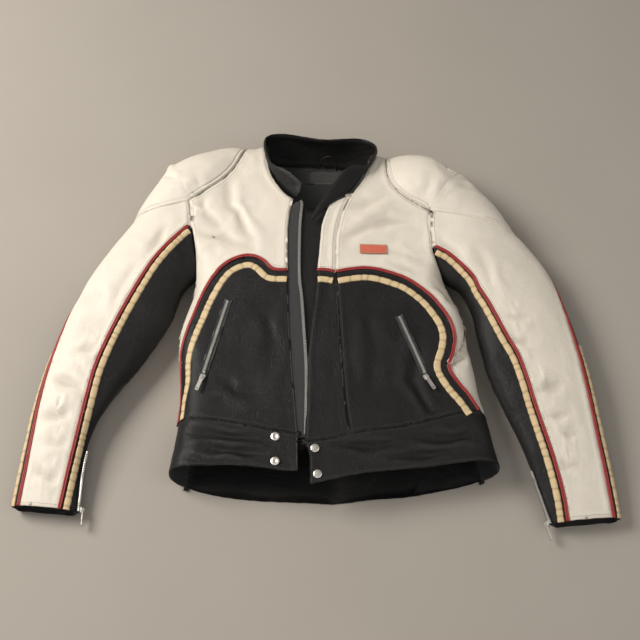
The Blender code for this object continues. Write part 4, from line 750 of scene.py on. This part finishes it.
# The badge: a small rectangle of woven cloth with a satin-stitched rim, sewn to the right chest.
# It is left plain.
BADGE_CLOTH = cloth("badge cloth", "badge red", ((0.62, 0.115, 0.055), (0.72, 0.17, 0.09)), 0.62, 300.0,
                    0.0004, 0.2)
dress("chest_badge", (BADGE_CLOTH, BADGE_CLOTH), folds=(), level=3, facing=0,
              swell=0.0)


# Every trim is drawn on the dressed panels, so it follows their folds. A ray from outside finds the
# leather under each point of the trim.
REACH_OUT = 0.014
REACH_IN = 0.012
PROBE = 0.004
LOWEST_SEAT = -0.006
PLAIN_SEAT = -0.0012
SEAT_SPREAD = 0.0016


def outer_surface():
    corners, faces = [], []
    for piece in dressed.values():
        base = len(corners)
        corners.extend(vert.co.copy() for vert in piece.data.vertices)
        faces.extend([base + v for v in face.vertices] for face in piece.data.polygons)
    return BVHTree.FromPolygons(corners, faces)


OUTER = outer_surface()


def height_on_leather(place, up):
    """How far along up the leather lies from a place, or None where there is none."""
    hit = OUTER.ray_cast(place + up * REACH_OUT, -up, REACH_OUT + REACH_IN)
    return None if hit[0] is None else REACH_OUT - hit[3]


def smooth_path(points, step):
    """A curve through points, with rows a step apart. Columns after the third follow the place."""
    rows = np.array([tuple(p) for p in points])
    ends = np.vstack([2 * rows[:1] - rows[1:2], rows, 2 * rows[-1:] - rows[-2:-1]])
    a, b, c, d = (ends[n:len(ends) - 3 + n, None] for n in range(4))
    u = (np.arange(16) / 16)[None, :, None]
    dense = 0.5 * (2 * b + (c - a) * u + (2 * a - 5 * b + 4 * c - d) * u ** 2
                   + (3 * b - a - 3 * c + d) * u ** 3)
    dense = np.vstack([dense.reshape(-1, rows.shape[1]), rows[-1:]])
    spans = np.concatenate([[0.0], np.linalg.norm(np.diff(dense[:, :3], axis=0), axis=1)]).cumsum()
    wanted = np.linspace(0, spans[-1], max(2, round(spans[-1] / step) + 1))
    return [Vector(row) for row in np.stack([np.interp(wanted, spans, column) for column in dense.T], axis=1)]


def ribbon_sections(node):
    """Middle and up of each cross-section of a ribbon's solid, from its top end down."""
    bm = bmesh.new()
    bm.from_mesh(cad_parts[node].data)
    bmesh.ops.remove_doubles(bm, verts=bm.verts, dist=WELD)
    bmesh.ops.join_triangles(bm, faces=bm.faces, angle_face_threshold=1.2, angle_shape_threshold=1.5)
    caps = [face for face in bm.faces if len(face.verts) == 4
            and all(len(vert.link_edges) == 3 for vert in face.verts)]
    cap = max(caps, key=lambda face: face.calc_center_median().y)
    order = list(cap.verts)
    seen = set(order)
    sections = []
    while len(order) == 4:
        a, b, c, d = (vert.co for vert in order)
        if (a - b).length < (b - c).length:
            a, b, c, d = b, c, d, a
        sections.append(((a + b + c + d) / 4, (a + b - c - d).normalized()))
        following = []
        for vert in order:
            further = [edge.other_vert(vert) for edge in vert.link_edges if edge.other_vert(vert) not in seen]
            following.extend(further[:1])
        seen.update(following)
        order = following
    bm.free()
    return sections


def ribbon_course(node, step, half_width, smooth_rounds=2):
    """Places along a ribbon with their up and across ways, set on the leather below them."""
    sections = ribbon_sections(node)
    above, below = (sum(OUTER.find_nearest(middle + up * probe)[3] for middle, up in sections)
                    for probe in (PROBE, -PROBE))
    flip = 1 if above > below else -1
    path = smooth_path([(*middle, *(up * flip)) for middle, up in sections], step)
    middles = [Vector(p[:3]) for p in path]
    ups = [Vector(p[3:]).normalized() for p in path]
    count = len(path)
    ways = [(middles[min(i + 1, count - 1)] - middles[max(i - 1, 0)]).normalized() for i in range(count)]
    sides = [up.cross(way).normalized() for up, way in zip(ups, ways)]
    lifts = np.zeros((count, 3))
    for index, (middle, up, side) in enumerate(zip(middles, ups, sides)):
        found = [height_on_leather(middle + side * (half_width * k), up) for k in (-1, 0, 1)]
        known = [f for f in found if f is not None and f > LOWEST_SEAT]
        best = max(known) if known else PLAIN_SEAT
        lifts[index] = [f if f is not None and f > best - SEAT_SPREAD else best for f in found]
    for _ in range(smooth_rounds):
        padded = np.vstack([lifts[:1], lifts, lifts[-1:]])
        lifts = (padded[:-2] + 2 * padded[1:-1] + padded[2:]) / 4
    return middles, ups, sides, lifts


def smooth_mesh(name, courses):
    """One mesh of smooth rods. Each is a course of rings of points, closed at both ends."""
    bm = bmesh.new()
    for rings in courses:
        rows = [[bm.verts.new(place) for place in places] for places in rings]
        for row, following in zip(rows, rows[1:]):
            for k in range(len(row)):
                bm.faces.new((row[k - 1], row[k], following[k], following[k - 1]))
        bm.faces.new(rows[0])
        bm.faces.new(rows[-1])
    bmesh.ops.recalc_face_normals(bm, faces=bm.faces)
    for face in bm.faces:
        face.smooth = True
    return finished(bm, name)


def ring(middle, side, up, radius, count):
    """Points round a rod's middle."""
    turns = (2 * math.pi * k / count for k in range(count))
    return [middle + (side * math.cos(turn) + up * math.sin(turn)) * radius for turn in turns]


# The red piping: a strip of thin red leather folded round two cords and caught in the seam, so it
# stands up as two thin round lines side by side.
CORD_RADIUS = 0.00130
CORD_APART = 0.00135
CORD_SIDES = 10
CORD_STEP = 0.0018
CORD_RISE = 0.0006
CORD_SEAT = 0.0035
RED = leather("red piping", ((0.36, 0.010, 0.014), (0.27, 0.007, 0.010), (0.12, 0.004, 0.006),
                             (0.62, 0.13, 0.10)),
              (0.34, 0.46), 0.15, 900.0, 0.3, 0.0004, 0.5)
PIPINGS = ("piping_front_left", "piping_front_right", "piping_inner_left", "piping_inner_right",
           "piping_outer_left", "piping_outer_right", "piping_placket")


def draw_piping(node):
    middles, ups, sides, lifts = ribbon_course(node, CORD_STEP, CORD_SEAT)
    cords = []
    for hand in (-1, 1):
        cord = []
        for index, (middle, up, side) in enumerate(zip(middles, ups, sides)):
            centre = middle + up * (lifts[index].max() + CORD_RISE) + side * (hand * CORD_APART)
            radius = CORD_RADIUS * (1 + 0.06 * math.sin(index * 1.9 + hand))
            cord.append(ring(centre, side, up, radius, CORD_SIDES))
        cords.append(cord)
    place_piece(node + "_cords", smooth_mesh(node + "_cords", cords), RED, nodes=(node,))


for node in PIPINGS:
    draw_piping(node)


# The cream stripes: strips of thin leather sewn on flat along both edges. The thread has drawn them
# in, so they pucker across every centimetre or so and their edges are scalloped.
STRIPE_STEP = 0.0013
STRIPE_COLUMNS = 9
STRIPE_THICKNESS = 0.0011
STRIPE_CROWN = 0.0004
STRIPE_LIFT = 0.0003
STRIPE_SINK = 0.0004
PUCKER_DEPTH = 0.0006
PUCKER_WIDTH = 0.0015
PUCKER_SPACES = (0.0085, 0.0210)
SCALLOP = 0.0005
# The third colour gives dirt near the edges and painted shade in the pucker hollows and under the strip's
# edges.
CREAM = leather("cream stripe", ((0.71, 0.56, 0.335), (0.62, 0.46, 0.245), (0.30, 0.20, 0.095),
                                 (0.80, 0.68, 0.47)),
                (0.46, 0.60), 0.0, 900.0, 0.6, 0.0006, 0.5)
STRIPES = {
    # node: half its width
    "stripe_front_left": 0.0055, "stripe_front_right": 0.0055, "stripe_placket": 0.0055,
    "stripe_inner_left": 0.0050, "stripe_inner_right": 0.0050,
    "stripe_outer_left": 0.0045, "stripe_outer_right": 0.0045,
}


def draw_stripe(node, half_width, seed):
    middles, ups, sides, lifts = ribbon_course(node, STRIPE_STEP, half_width * 0.85, 3)
    chance = np.random.default_rng(seed)
    length = STRIPE_STEP * len(middles)
    puckers = np.cumsum(chance.uniform(*PUCKER_SPACES, size=int(length / PUCKER_SPACES[0]) + 2))
    slants = chance.uniform(-0.25, 0.25, size=len(puckers))
    rings, folds = [], []
    for index, (middle, up, side) in enumerate(zip(middles, ups, sides)):
        along = index * STRIPE_STEP
        top, hollow = [], []
        edge_pull = float(np.exp(-((along - puckers) / (1.6 * PUCKER_WIDTH)) ** 2).max())
        reach = half_width - SCALLOP * edge_pull
        for k in range(STRIPE_COLUMNS):
            u = 2 * k / (STRIPE_COLUMNS - 1) - 1
            shift = along - puckers - slants * u * half_width
            pull = float(np.exp(-(shift / PUCKER_WIDTH) ** 2).max())
            base = float(np.interp(u, (-1, 0, 1), lifts[index]))
            crown = STRIPE_THICKNESS * (1 - abs(u) ** 6) + STRIPE_CROWN * (1 - u * u)
            high = base + crown - PUCKER_DEPTH * pull * (1 - 0.4 * u * u) + STRIPE_LIFT
            top.append(middle + side * (u * reach) + up * high)
            # Pucker hollows are marked for painted shade.
            hollow.append(-pull)
        low = [middle + side * (u * (reach - STRIPE_LIFT)) + up * (lifts[index][u + 1] - STRIPE_SINK)
               for u in (1, 0, -1)]
        rings.append(top + low)
        # The sunk edges under the strip are marked -0.6 for painted shade beside it.
        folds += hollow + [-0.6] * 3
    mesh = smooth_mesh(node, [rings])
    value_attribute(mesh, "fold", folds)
    seams = [min(1.0, (1 - abs(2 * (k % (STRIPE_COLUMNS + 3)) / (STRIPE_COLUMNS - 1) - 1)) * 1.5)
             if k % (STRIPE_COLUMNS + 3) < STRIPE_COLUMNS else 0.0 for k in range(len(folds))]
    value_attribute(mesh, "seam", np.clip(seams, 0, 1))
    place_piece(node + "_strip", mesh, CREAM, nodes=(node,))


for number, (node, half_width) in enumerate(STRIPES.items()):
    draw_stripe(node, half_width, 40 + number)


# The sewing: every panel is topstitched beside its seams with waxed thread, about three stitches to
# the centimetre, pale grey on white leather and black on black. The pads have two rows.
STITCH_LENGTH = 0.0030
STITCH_PITCH = 0.0040
STITCH_RADIUS = 0.00042
STITCH_SIDES = 6
STITCH_SINK = 0.00010
STITCH_SHAPE = ((-0.5, 0.35), (-0.32, 1.0), (0.0, 1.12), (0.32, 1.0), (0.5, 0.35))  # place, thickness


def thread(name, slot, *colours):
    """Twisted waxed thread."""
    finish = Finish(name, 0.6, slot=slot)
    twist = add_pattern(finish.tree, "ShaderNodeTexNoise", {"Scale": 900.0, "Detail": 2.0}).outputs["Fac"]
    finish.join(finish.blend(twist, *colours), finish.inputs["Base Color"])
    finish.bump(twist, 0.0002)
    return finish.material


PALE_THREAD = thread("pale thread", "white leather", (0.24, 0.21, 0.175), (0.42, 0.37, 0.31))
DARK_THREAD = thread("dark thread", "black leather", (0.012, 0.012, 0.012), (0.035, 0.034, 0.033))
CREAM_THREAD = thread("cream thread", "cream stripe", (0.48, 0.36, 0.20), (0.66, 0.53, 0.33))


def rim_loops(mesh):
    """The outer face's edge loops as ordered places with their way inwards."""
    count, owner = {}, {}
    for index in np.flatnonzero(outer_marks(mesh)):
        face = mesh.polygons[index]
        for key in face.edge_keys:
            count[key] = count.get(key, 0) + 1
            owner[key] = face
    links, inwards = {}, {}
    for key, times in count.items():
        if times == 1:
            for vert, other in (key, key[::-1]):
                links.setdefault(vert, []).append(other)
                inwards[vert] = inwards.get(vert, Vector()) + owner[key].center
    loops = []
    left = set(links)
    while left:
        loop = [left.pop()]
        while following := [v for v in links[loop[-1]] if v in left]:
            left.discard(following[0])
            loop.append(following[0])
        if len(loop) > 8:
            loops.append([(mesh.vertices[v].co.copy(), mesh.vertices[v].normal.copy(),
                           (inwards[v] / len(links[v]) - mesh.vertices[v].co)) for v in loop])
    return loops


def stitch_row(mesh, inset, keep=None):
    """Courses for stitches at a distance inside the edge of a panel."""
    rows = []
    for loop in rim_loops(mesh):
        count = len(loop)
        course = []
        for index, (place, _, inward) in enumerate(loop):
            way = (loop[(index + 1) % count][0] - loop[index - 1][0]).normalized()
            course.append((place, (inward - way * inward.dot(way)).normalized()))
        run = []
        for place, inward in course + course[:1]:
            spot = place + inward * inset
            if keep and not keep(spot):
                rows.append(run)
                run = []
                continue
            run.append(OUTER.find_nearest(spot)[:2])
        rows.append(run)
    return [row for row in rows if len(row) > 2]


def sew(name, rows, material):
    """Stitches along courses of places and their up ways, as one mesh."""
    stitches = []
    for row in rows:
        path = smooth_path([(*p, *u) for p, u in row], STITCH_PITCH / 4)
        for index in range(2, len(path) - 2, 4):
            middle = Vector(path[index][:3])
            up = Vector(path[index][3:]).normalized()
            way = Vector(path[index + 1][:3]) - Vector(path[index - 1][:3])
            if way.length < 1e-5:
                continue
            way.normalize()
            side = way.cross(up).normalized()
            stitch = []
            for share, wide in STITCH_SHAPE:
                drop = STITCH_SINK + 0.0004 * (2 * share) ** 4
                centre = middle + way * (share * STITCH_LENGTH) - up * (drop - STITCH_RADIUS * 0.4)
                stitch.append(ring(centre, side, up, STITCH_RADIUS * wide, STITCH_SIDES))
            stitches.append(stitch)
    place_piece(name, smooth_mesh(name, stitches), material)


PANEL_STITCHES = (
    # name, thread, panels, distance from the edge
    ("chest_stitches", PALE_THREAD, ("chest_left", "chest_right", "placket_upper"), 0.0048),
    ("side_stitches", PALE_THREAD, ("side_panel_left", "side_panel_right"), 0.0045),
    ("sleeve_stitches", PALE_THREAD, ("sleeve_top_left", "sleeve_top_right"), 0.0050),
    ("front_stitches", DARK_THREAD, ("front_lower_left", "front_lower_right", "placket_lower"), 0.0045),
    ("badge_stitches", CREAM_THREAD, ("chest_badge",), 0.0012),
    ("band_stitches", DARK_THREAD, ("waistband_front_left", "waistband_front_right"), 0.0030),
)
for name, material, nodes, inset in PANEL_STITCHES:
    sew(name, [row for node in nodes for row in stitch_row(dressed[node].data, inset)], material)

PAD_ROWS = (0.0034, 0.0092)
PAD_SEAM_ROW = 0.0024
PAD_ROW_CLEAR = 0.0045
pad_rows = []
for node, wall, armhole, hidden, start, seam_way in pad_facts:
    def away(spot):
        return (armhole.find(spot)[2] > PAD_ROW_CLEAR and hidden.find(spot)[2] > PAD_ROW_CLEAR
                and (spot - start).dot(seam_way) > 0 and ("pad" in node or spot.z < PAD_LOW))

    def beside(spot):
        return armhole.find(spot)[2] < PAD_ROW_CLEAR and (spot - start).dot(seam_way) > 0

    for inset in PAD_ROWS:
        pad_rows += stitch_row(wall, inset, away)
    if "pad" in node:
        pad_rows += stitch_row(wall, PAD_SEAM_ROW, beside)
for cut, seam_way in pad_cuts:
    for inset in PAD_ROWS:
        pad_rows.append([OUTER.find_nearest(place + seam_way * inset)[:2] for place in cut])
sew("pad_stitches", pad_rows, PALE_THREAD)


# The seam allowances: under every seam the turned-in edges of the two panels lie on each other, so
# no gap shows between them. White ones lie under white panels and black ones under black.
ALLOWANCE_OUT = 0.0052
ALLOWANCE_IN = 0.0020
ALLOWANCE_DEPTHS = (0.0006, 0.0012)
SEAM_NEAR = 0.0062
SEAM_GAP = 6


def build_allowances(name, nodes, material):
    strips = []
    for node in nodes:
        for loop in all_loops[node]:
            count = len(loop)
            rings = []
            beside = [bool(({rim_owner[near[1]] for near in rim_tree.find_range(place, SEAM_NEAR)} - {node})
                           & set(nodes)) for place, _, _ in loop]
            wide = [any(beside[(index + step) % count] for step in range(-SEAM_GAP, SEAM_GAP + 1))
                    for index in range(count)]
            for index in range(count + 1):
                place, normal, inward = loop[index % count]
                way = (loop[(index + 1) % count][0] - loop[index % count - 1][0]).normalized()
                inward = (inward - way * inward.dot(way)).normalized()
                joint = all(wide[(index + step) % count] for step in range(-SEAM_GAP, SEAM_GAP + 1))
                if joint:
                    deep, deeper = (place - normal * depth for depth in ALLOWANCE_DEPTHS)
                    rings.append([deep - inward * ALLOWANCE_OUT, deep + inward * ALLOWANCE_IN,
                                  deeper + inward * ALLOWANCE_IN, deeper - inward * ALLOWANCE_OUT])
                if rings and (not joint or index == count):
                    if len(rings) > 2:
                        strips.append(rings)
                    rings = []
    mesh = smooth_mesh(name, strips)
    for vert in mesh.vertices:
        vert.co.z = max(vert.co.z, 2 * FLOOR_GAP)
    place_piece(name, mesh, material)


WHITE_SEAMS = ("chest_left", "chest_right", "placket_upper", "sleeve_top_left", "sleeve_top_right",
               "side_panel_left", "side_panel_right", "back_panel")
BLACK_SEAMS = ("front_lower_left", "front_lower_right", "placket_lower", "waistband_front_left",
               "waistband_front_right", "waistband_back", "sleeve_under_left", "sleeve_under_right")
all_loops = {node: rim_loops(dressed[node].data) for node in WHITE_SEAMS + BLACK_SEAMS}
rim_owner = [node for node, loops in all_loops.items() for loop in loops for _ in loop]
rim_tree = places_tree([place for loops in all_loops.values() for loop in loops for place, _, _ in loop])
build_allowances("white_allowances", WHITE_SEAMS, WHITE)
build_allowances("black_allowances", BLACK_SEAMS, BLACK)


# The zip teeth: stamped nickel silver, each clamped over the tape's corded edge. The front zip is
# open, so it shows one row; the pocket and cuff zips are closed and show both rows meshed.
TOOTH_PITCH = 0.0027
TOOTH_SIZE = (0.0052, 0.00150, 0.0019)
TOOTH_BEVEL = 0.25
SMALL_PITCH = 0.0014
SMALL_ROWS = ((-0.0009, 0, 0.0032), (0.0009, 1, 0.0032))  # sideways shift, half pitches late, width
ABOVE_TAPE = 0.08
FRONT_TEETH = ((-0.0271, 0.2005), (-0.0237, 0.1917), (-0.0266, 0.1450), (-0.0266, 0.0585), (-0.0222, 0.0133),
               (-0.0187, -0.0389), (-0.0152, -0.0912), (-0.0143, -0.1310), (-0.0146, -0.1847),
               (-0.0152, -0.2180))


def metal(name, colours, roughness, scratch):
    """Plated metal with fine scratches and dull patches."""
    finish = Finish(name, roughness, metallic=1.0, slot="nickel")
    patches = add_pattern(finish.tree, "ShaderNodeTexNoise", {"Scale": 160.0, "Detail": 5.0,
                                                              "Roughness": 0.65}).outputs["Fac"]
    lines = add_pattern(finish.tree, "ShaderNodeTexNoise", {"Scale": 700.0, "Detail": 3.0,
                                                            "Distortion": 2.0}).outputs["Fac"]
    finish.join(finish.blend(patches, *colours), finish.inputs["Base Color"])
    finish.dull(lines, roughness * 0.7, roughness * 1.4)
    finish.bump(lines, scratch)
    return finish.material


NICKEL = metal("plated nickel", ((0.86, 0.84, 0.80), (0.55, 0.52, 0.47)), 0.36, 0.00012)
TEETH_METAL = metal("zip teeth", ((0.95, 0.94, 0.91), (0.70, 0.68, 0.64)), 0.42, 0.00008)


def teeth_mesh(name, path, rows):
    """Bevelled teeth along a path of places and ups. Rows are sideways shifts and half pitches."""
    bm = bmesh.new()
    count = len(path)
    for index in range(1, count - 1):
        middle = Vector(path[index][:3])
        up = Vector(path[index][3:]).normalized()
        way = (Vector(path[index + 1][:3]) - Vector(path[index - 1][:3])).normalized()
        side = way.cross(up).normalized()
        for shift, late, width in rows:
            if (index + late) % 2:
                continue
            centre = middle + side * shift + up * (TOOTH_SIZE[2] * 0.5)
            turn = Matrix((side, way, up)).transposed().to_4x4()
            size = Matrix.Diagonal((width, TOOTH_SIZE[1], TOOTH_SIZE[2], 1))
            made = bmesh.ops.create_cube(bm, size=1, matrix=Matrix.Translation(centre) @ turn @ size)
            for vert in made["verts"]:
                local = vert.co - centre
                if local.dot(up) > 0:
                    vert.co -= side * (local.dot(side) * TOOTH_BEVEL) + way * (local.dot(way) * TOOTH_BEVEL)
    return finished(bm, name)


def tape_path(points, node, step):
    """Places and their up ways, a step apart on a dressed tape near a line of points."""
    tree = BVHTree.FromObject(dressed[node], bpy.context.evaluated_depsgraph_get())
    path = []
    for place in smooth_path(points, step):
        hit = tree.find_nearest(place)
        up = hit[1] if hit[1].z > 0 or abs(hit[1].z) < 0.2 else -hit[1]
        path.append(Vector((*hit[0], *up)))
    return path


def long_middle(node):
    """The line along the middle of a short tape's outer face."""
    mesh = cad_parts[node].data
    points = np.array([v.co for v in mesh.vertices])
    centre = points.mean(0)
    way = np.linalg.svd(points - centre, full_matrices=False)[2][0]
    along = (points - centre) @ way
    stops = np.linspace(along.min(), along.max(), 3)
    line = [points[np.abs(along - stop) < (stops[1] - stops[0]) * 0.6].mean(0) for stop in stops]
    line[0] = line[0] + (stops[0] - (line[0] - centre) @ way + 0.002) * way
    line[-1] = line[-1] + (stops[-1] - (line[-1] - centre) @ way - 0.002) * way
    return [Vector(p) + Vector((0, 0, 0.004)) for p in line]


bpy.context.view_layer.update()
tape_tree = BVHTree.FromObject(dressed["zip_tape_left"], bpy.context.evaluated_depsgraph_get())
front_line = [(x, y, tape_tree.find_nearest((x, y, ABOVE_TAPE))[0].z) for x, y in FRONT_TEETH]
front_path = [Vector((*place, 0.0, 0.0, 1.0)) for place in smooth_path(front_line, TOOTH_PITCH / 2)]
place_piece("front_zip_teeth", teeth_mesh("front_zip_teeth", front_path, ((0.0, 0, TOOTH_SIZE[0]),)),
            TEETH_METAL)
for node in ("pocket_tape_left", "pocket_tape_right", "cuff_tape_left", "cuff_tape_right"):
    path = tape_path(long_middle(node), node, SMALL_PITCH)
    mesh = teeth_mesh(node + "_teeth", path, SMALL_ROWS)
    place_piece(node + "_teeth", mesh, TEETH_METAL)


# The hardware: plated sliders with their pulls, four snaps at the waistband and a small stud on the
# collar. Their solids have the right shape, so they stay and take the plated finish.
for name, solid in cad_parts.items():
    if any(word in name for word in ("slider", "pull", "snap", "collar_dot")):
        solid.data.materials.clear()
        solid.data.materials.append(NICKEL)


# The hanger loop: a short black cord, sewn at both ends inside the back of the neck.
dress("hanger_loop", (BLACK, BLACK), folds=(), level=1, facing=0, swell=0.0)
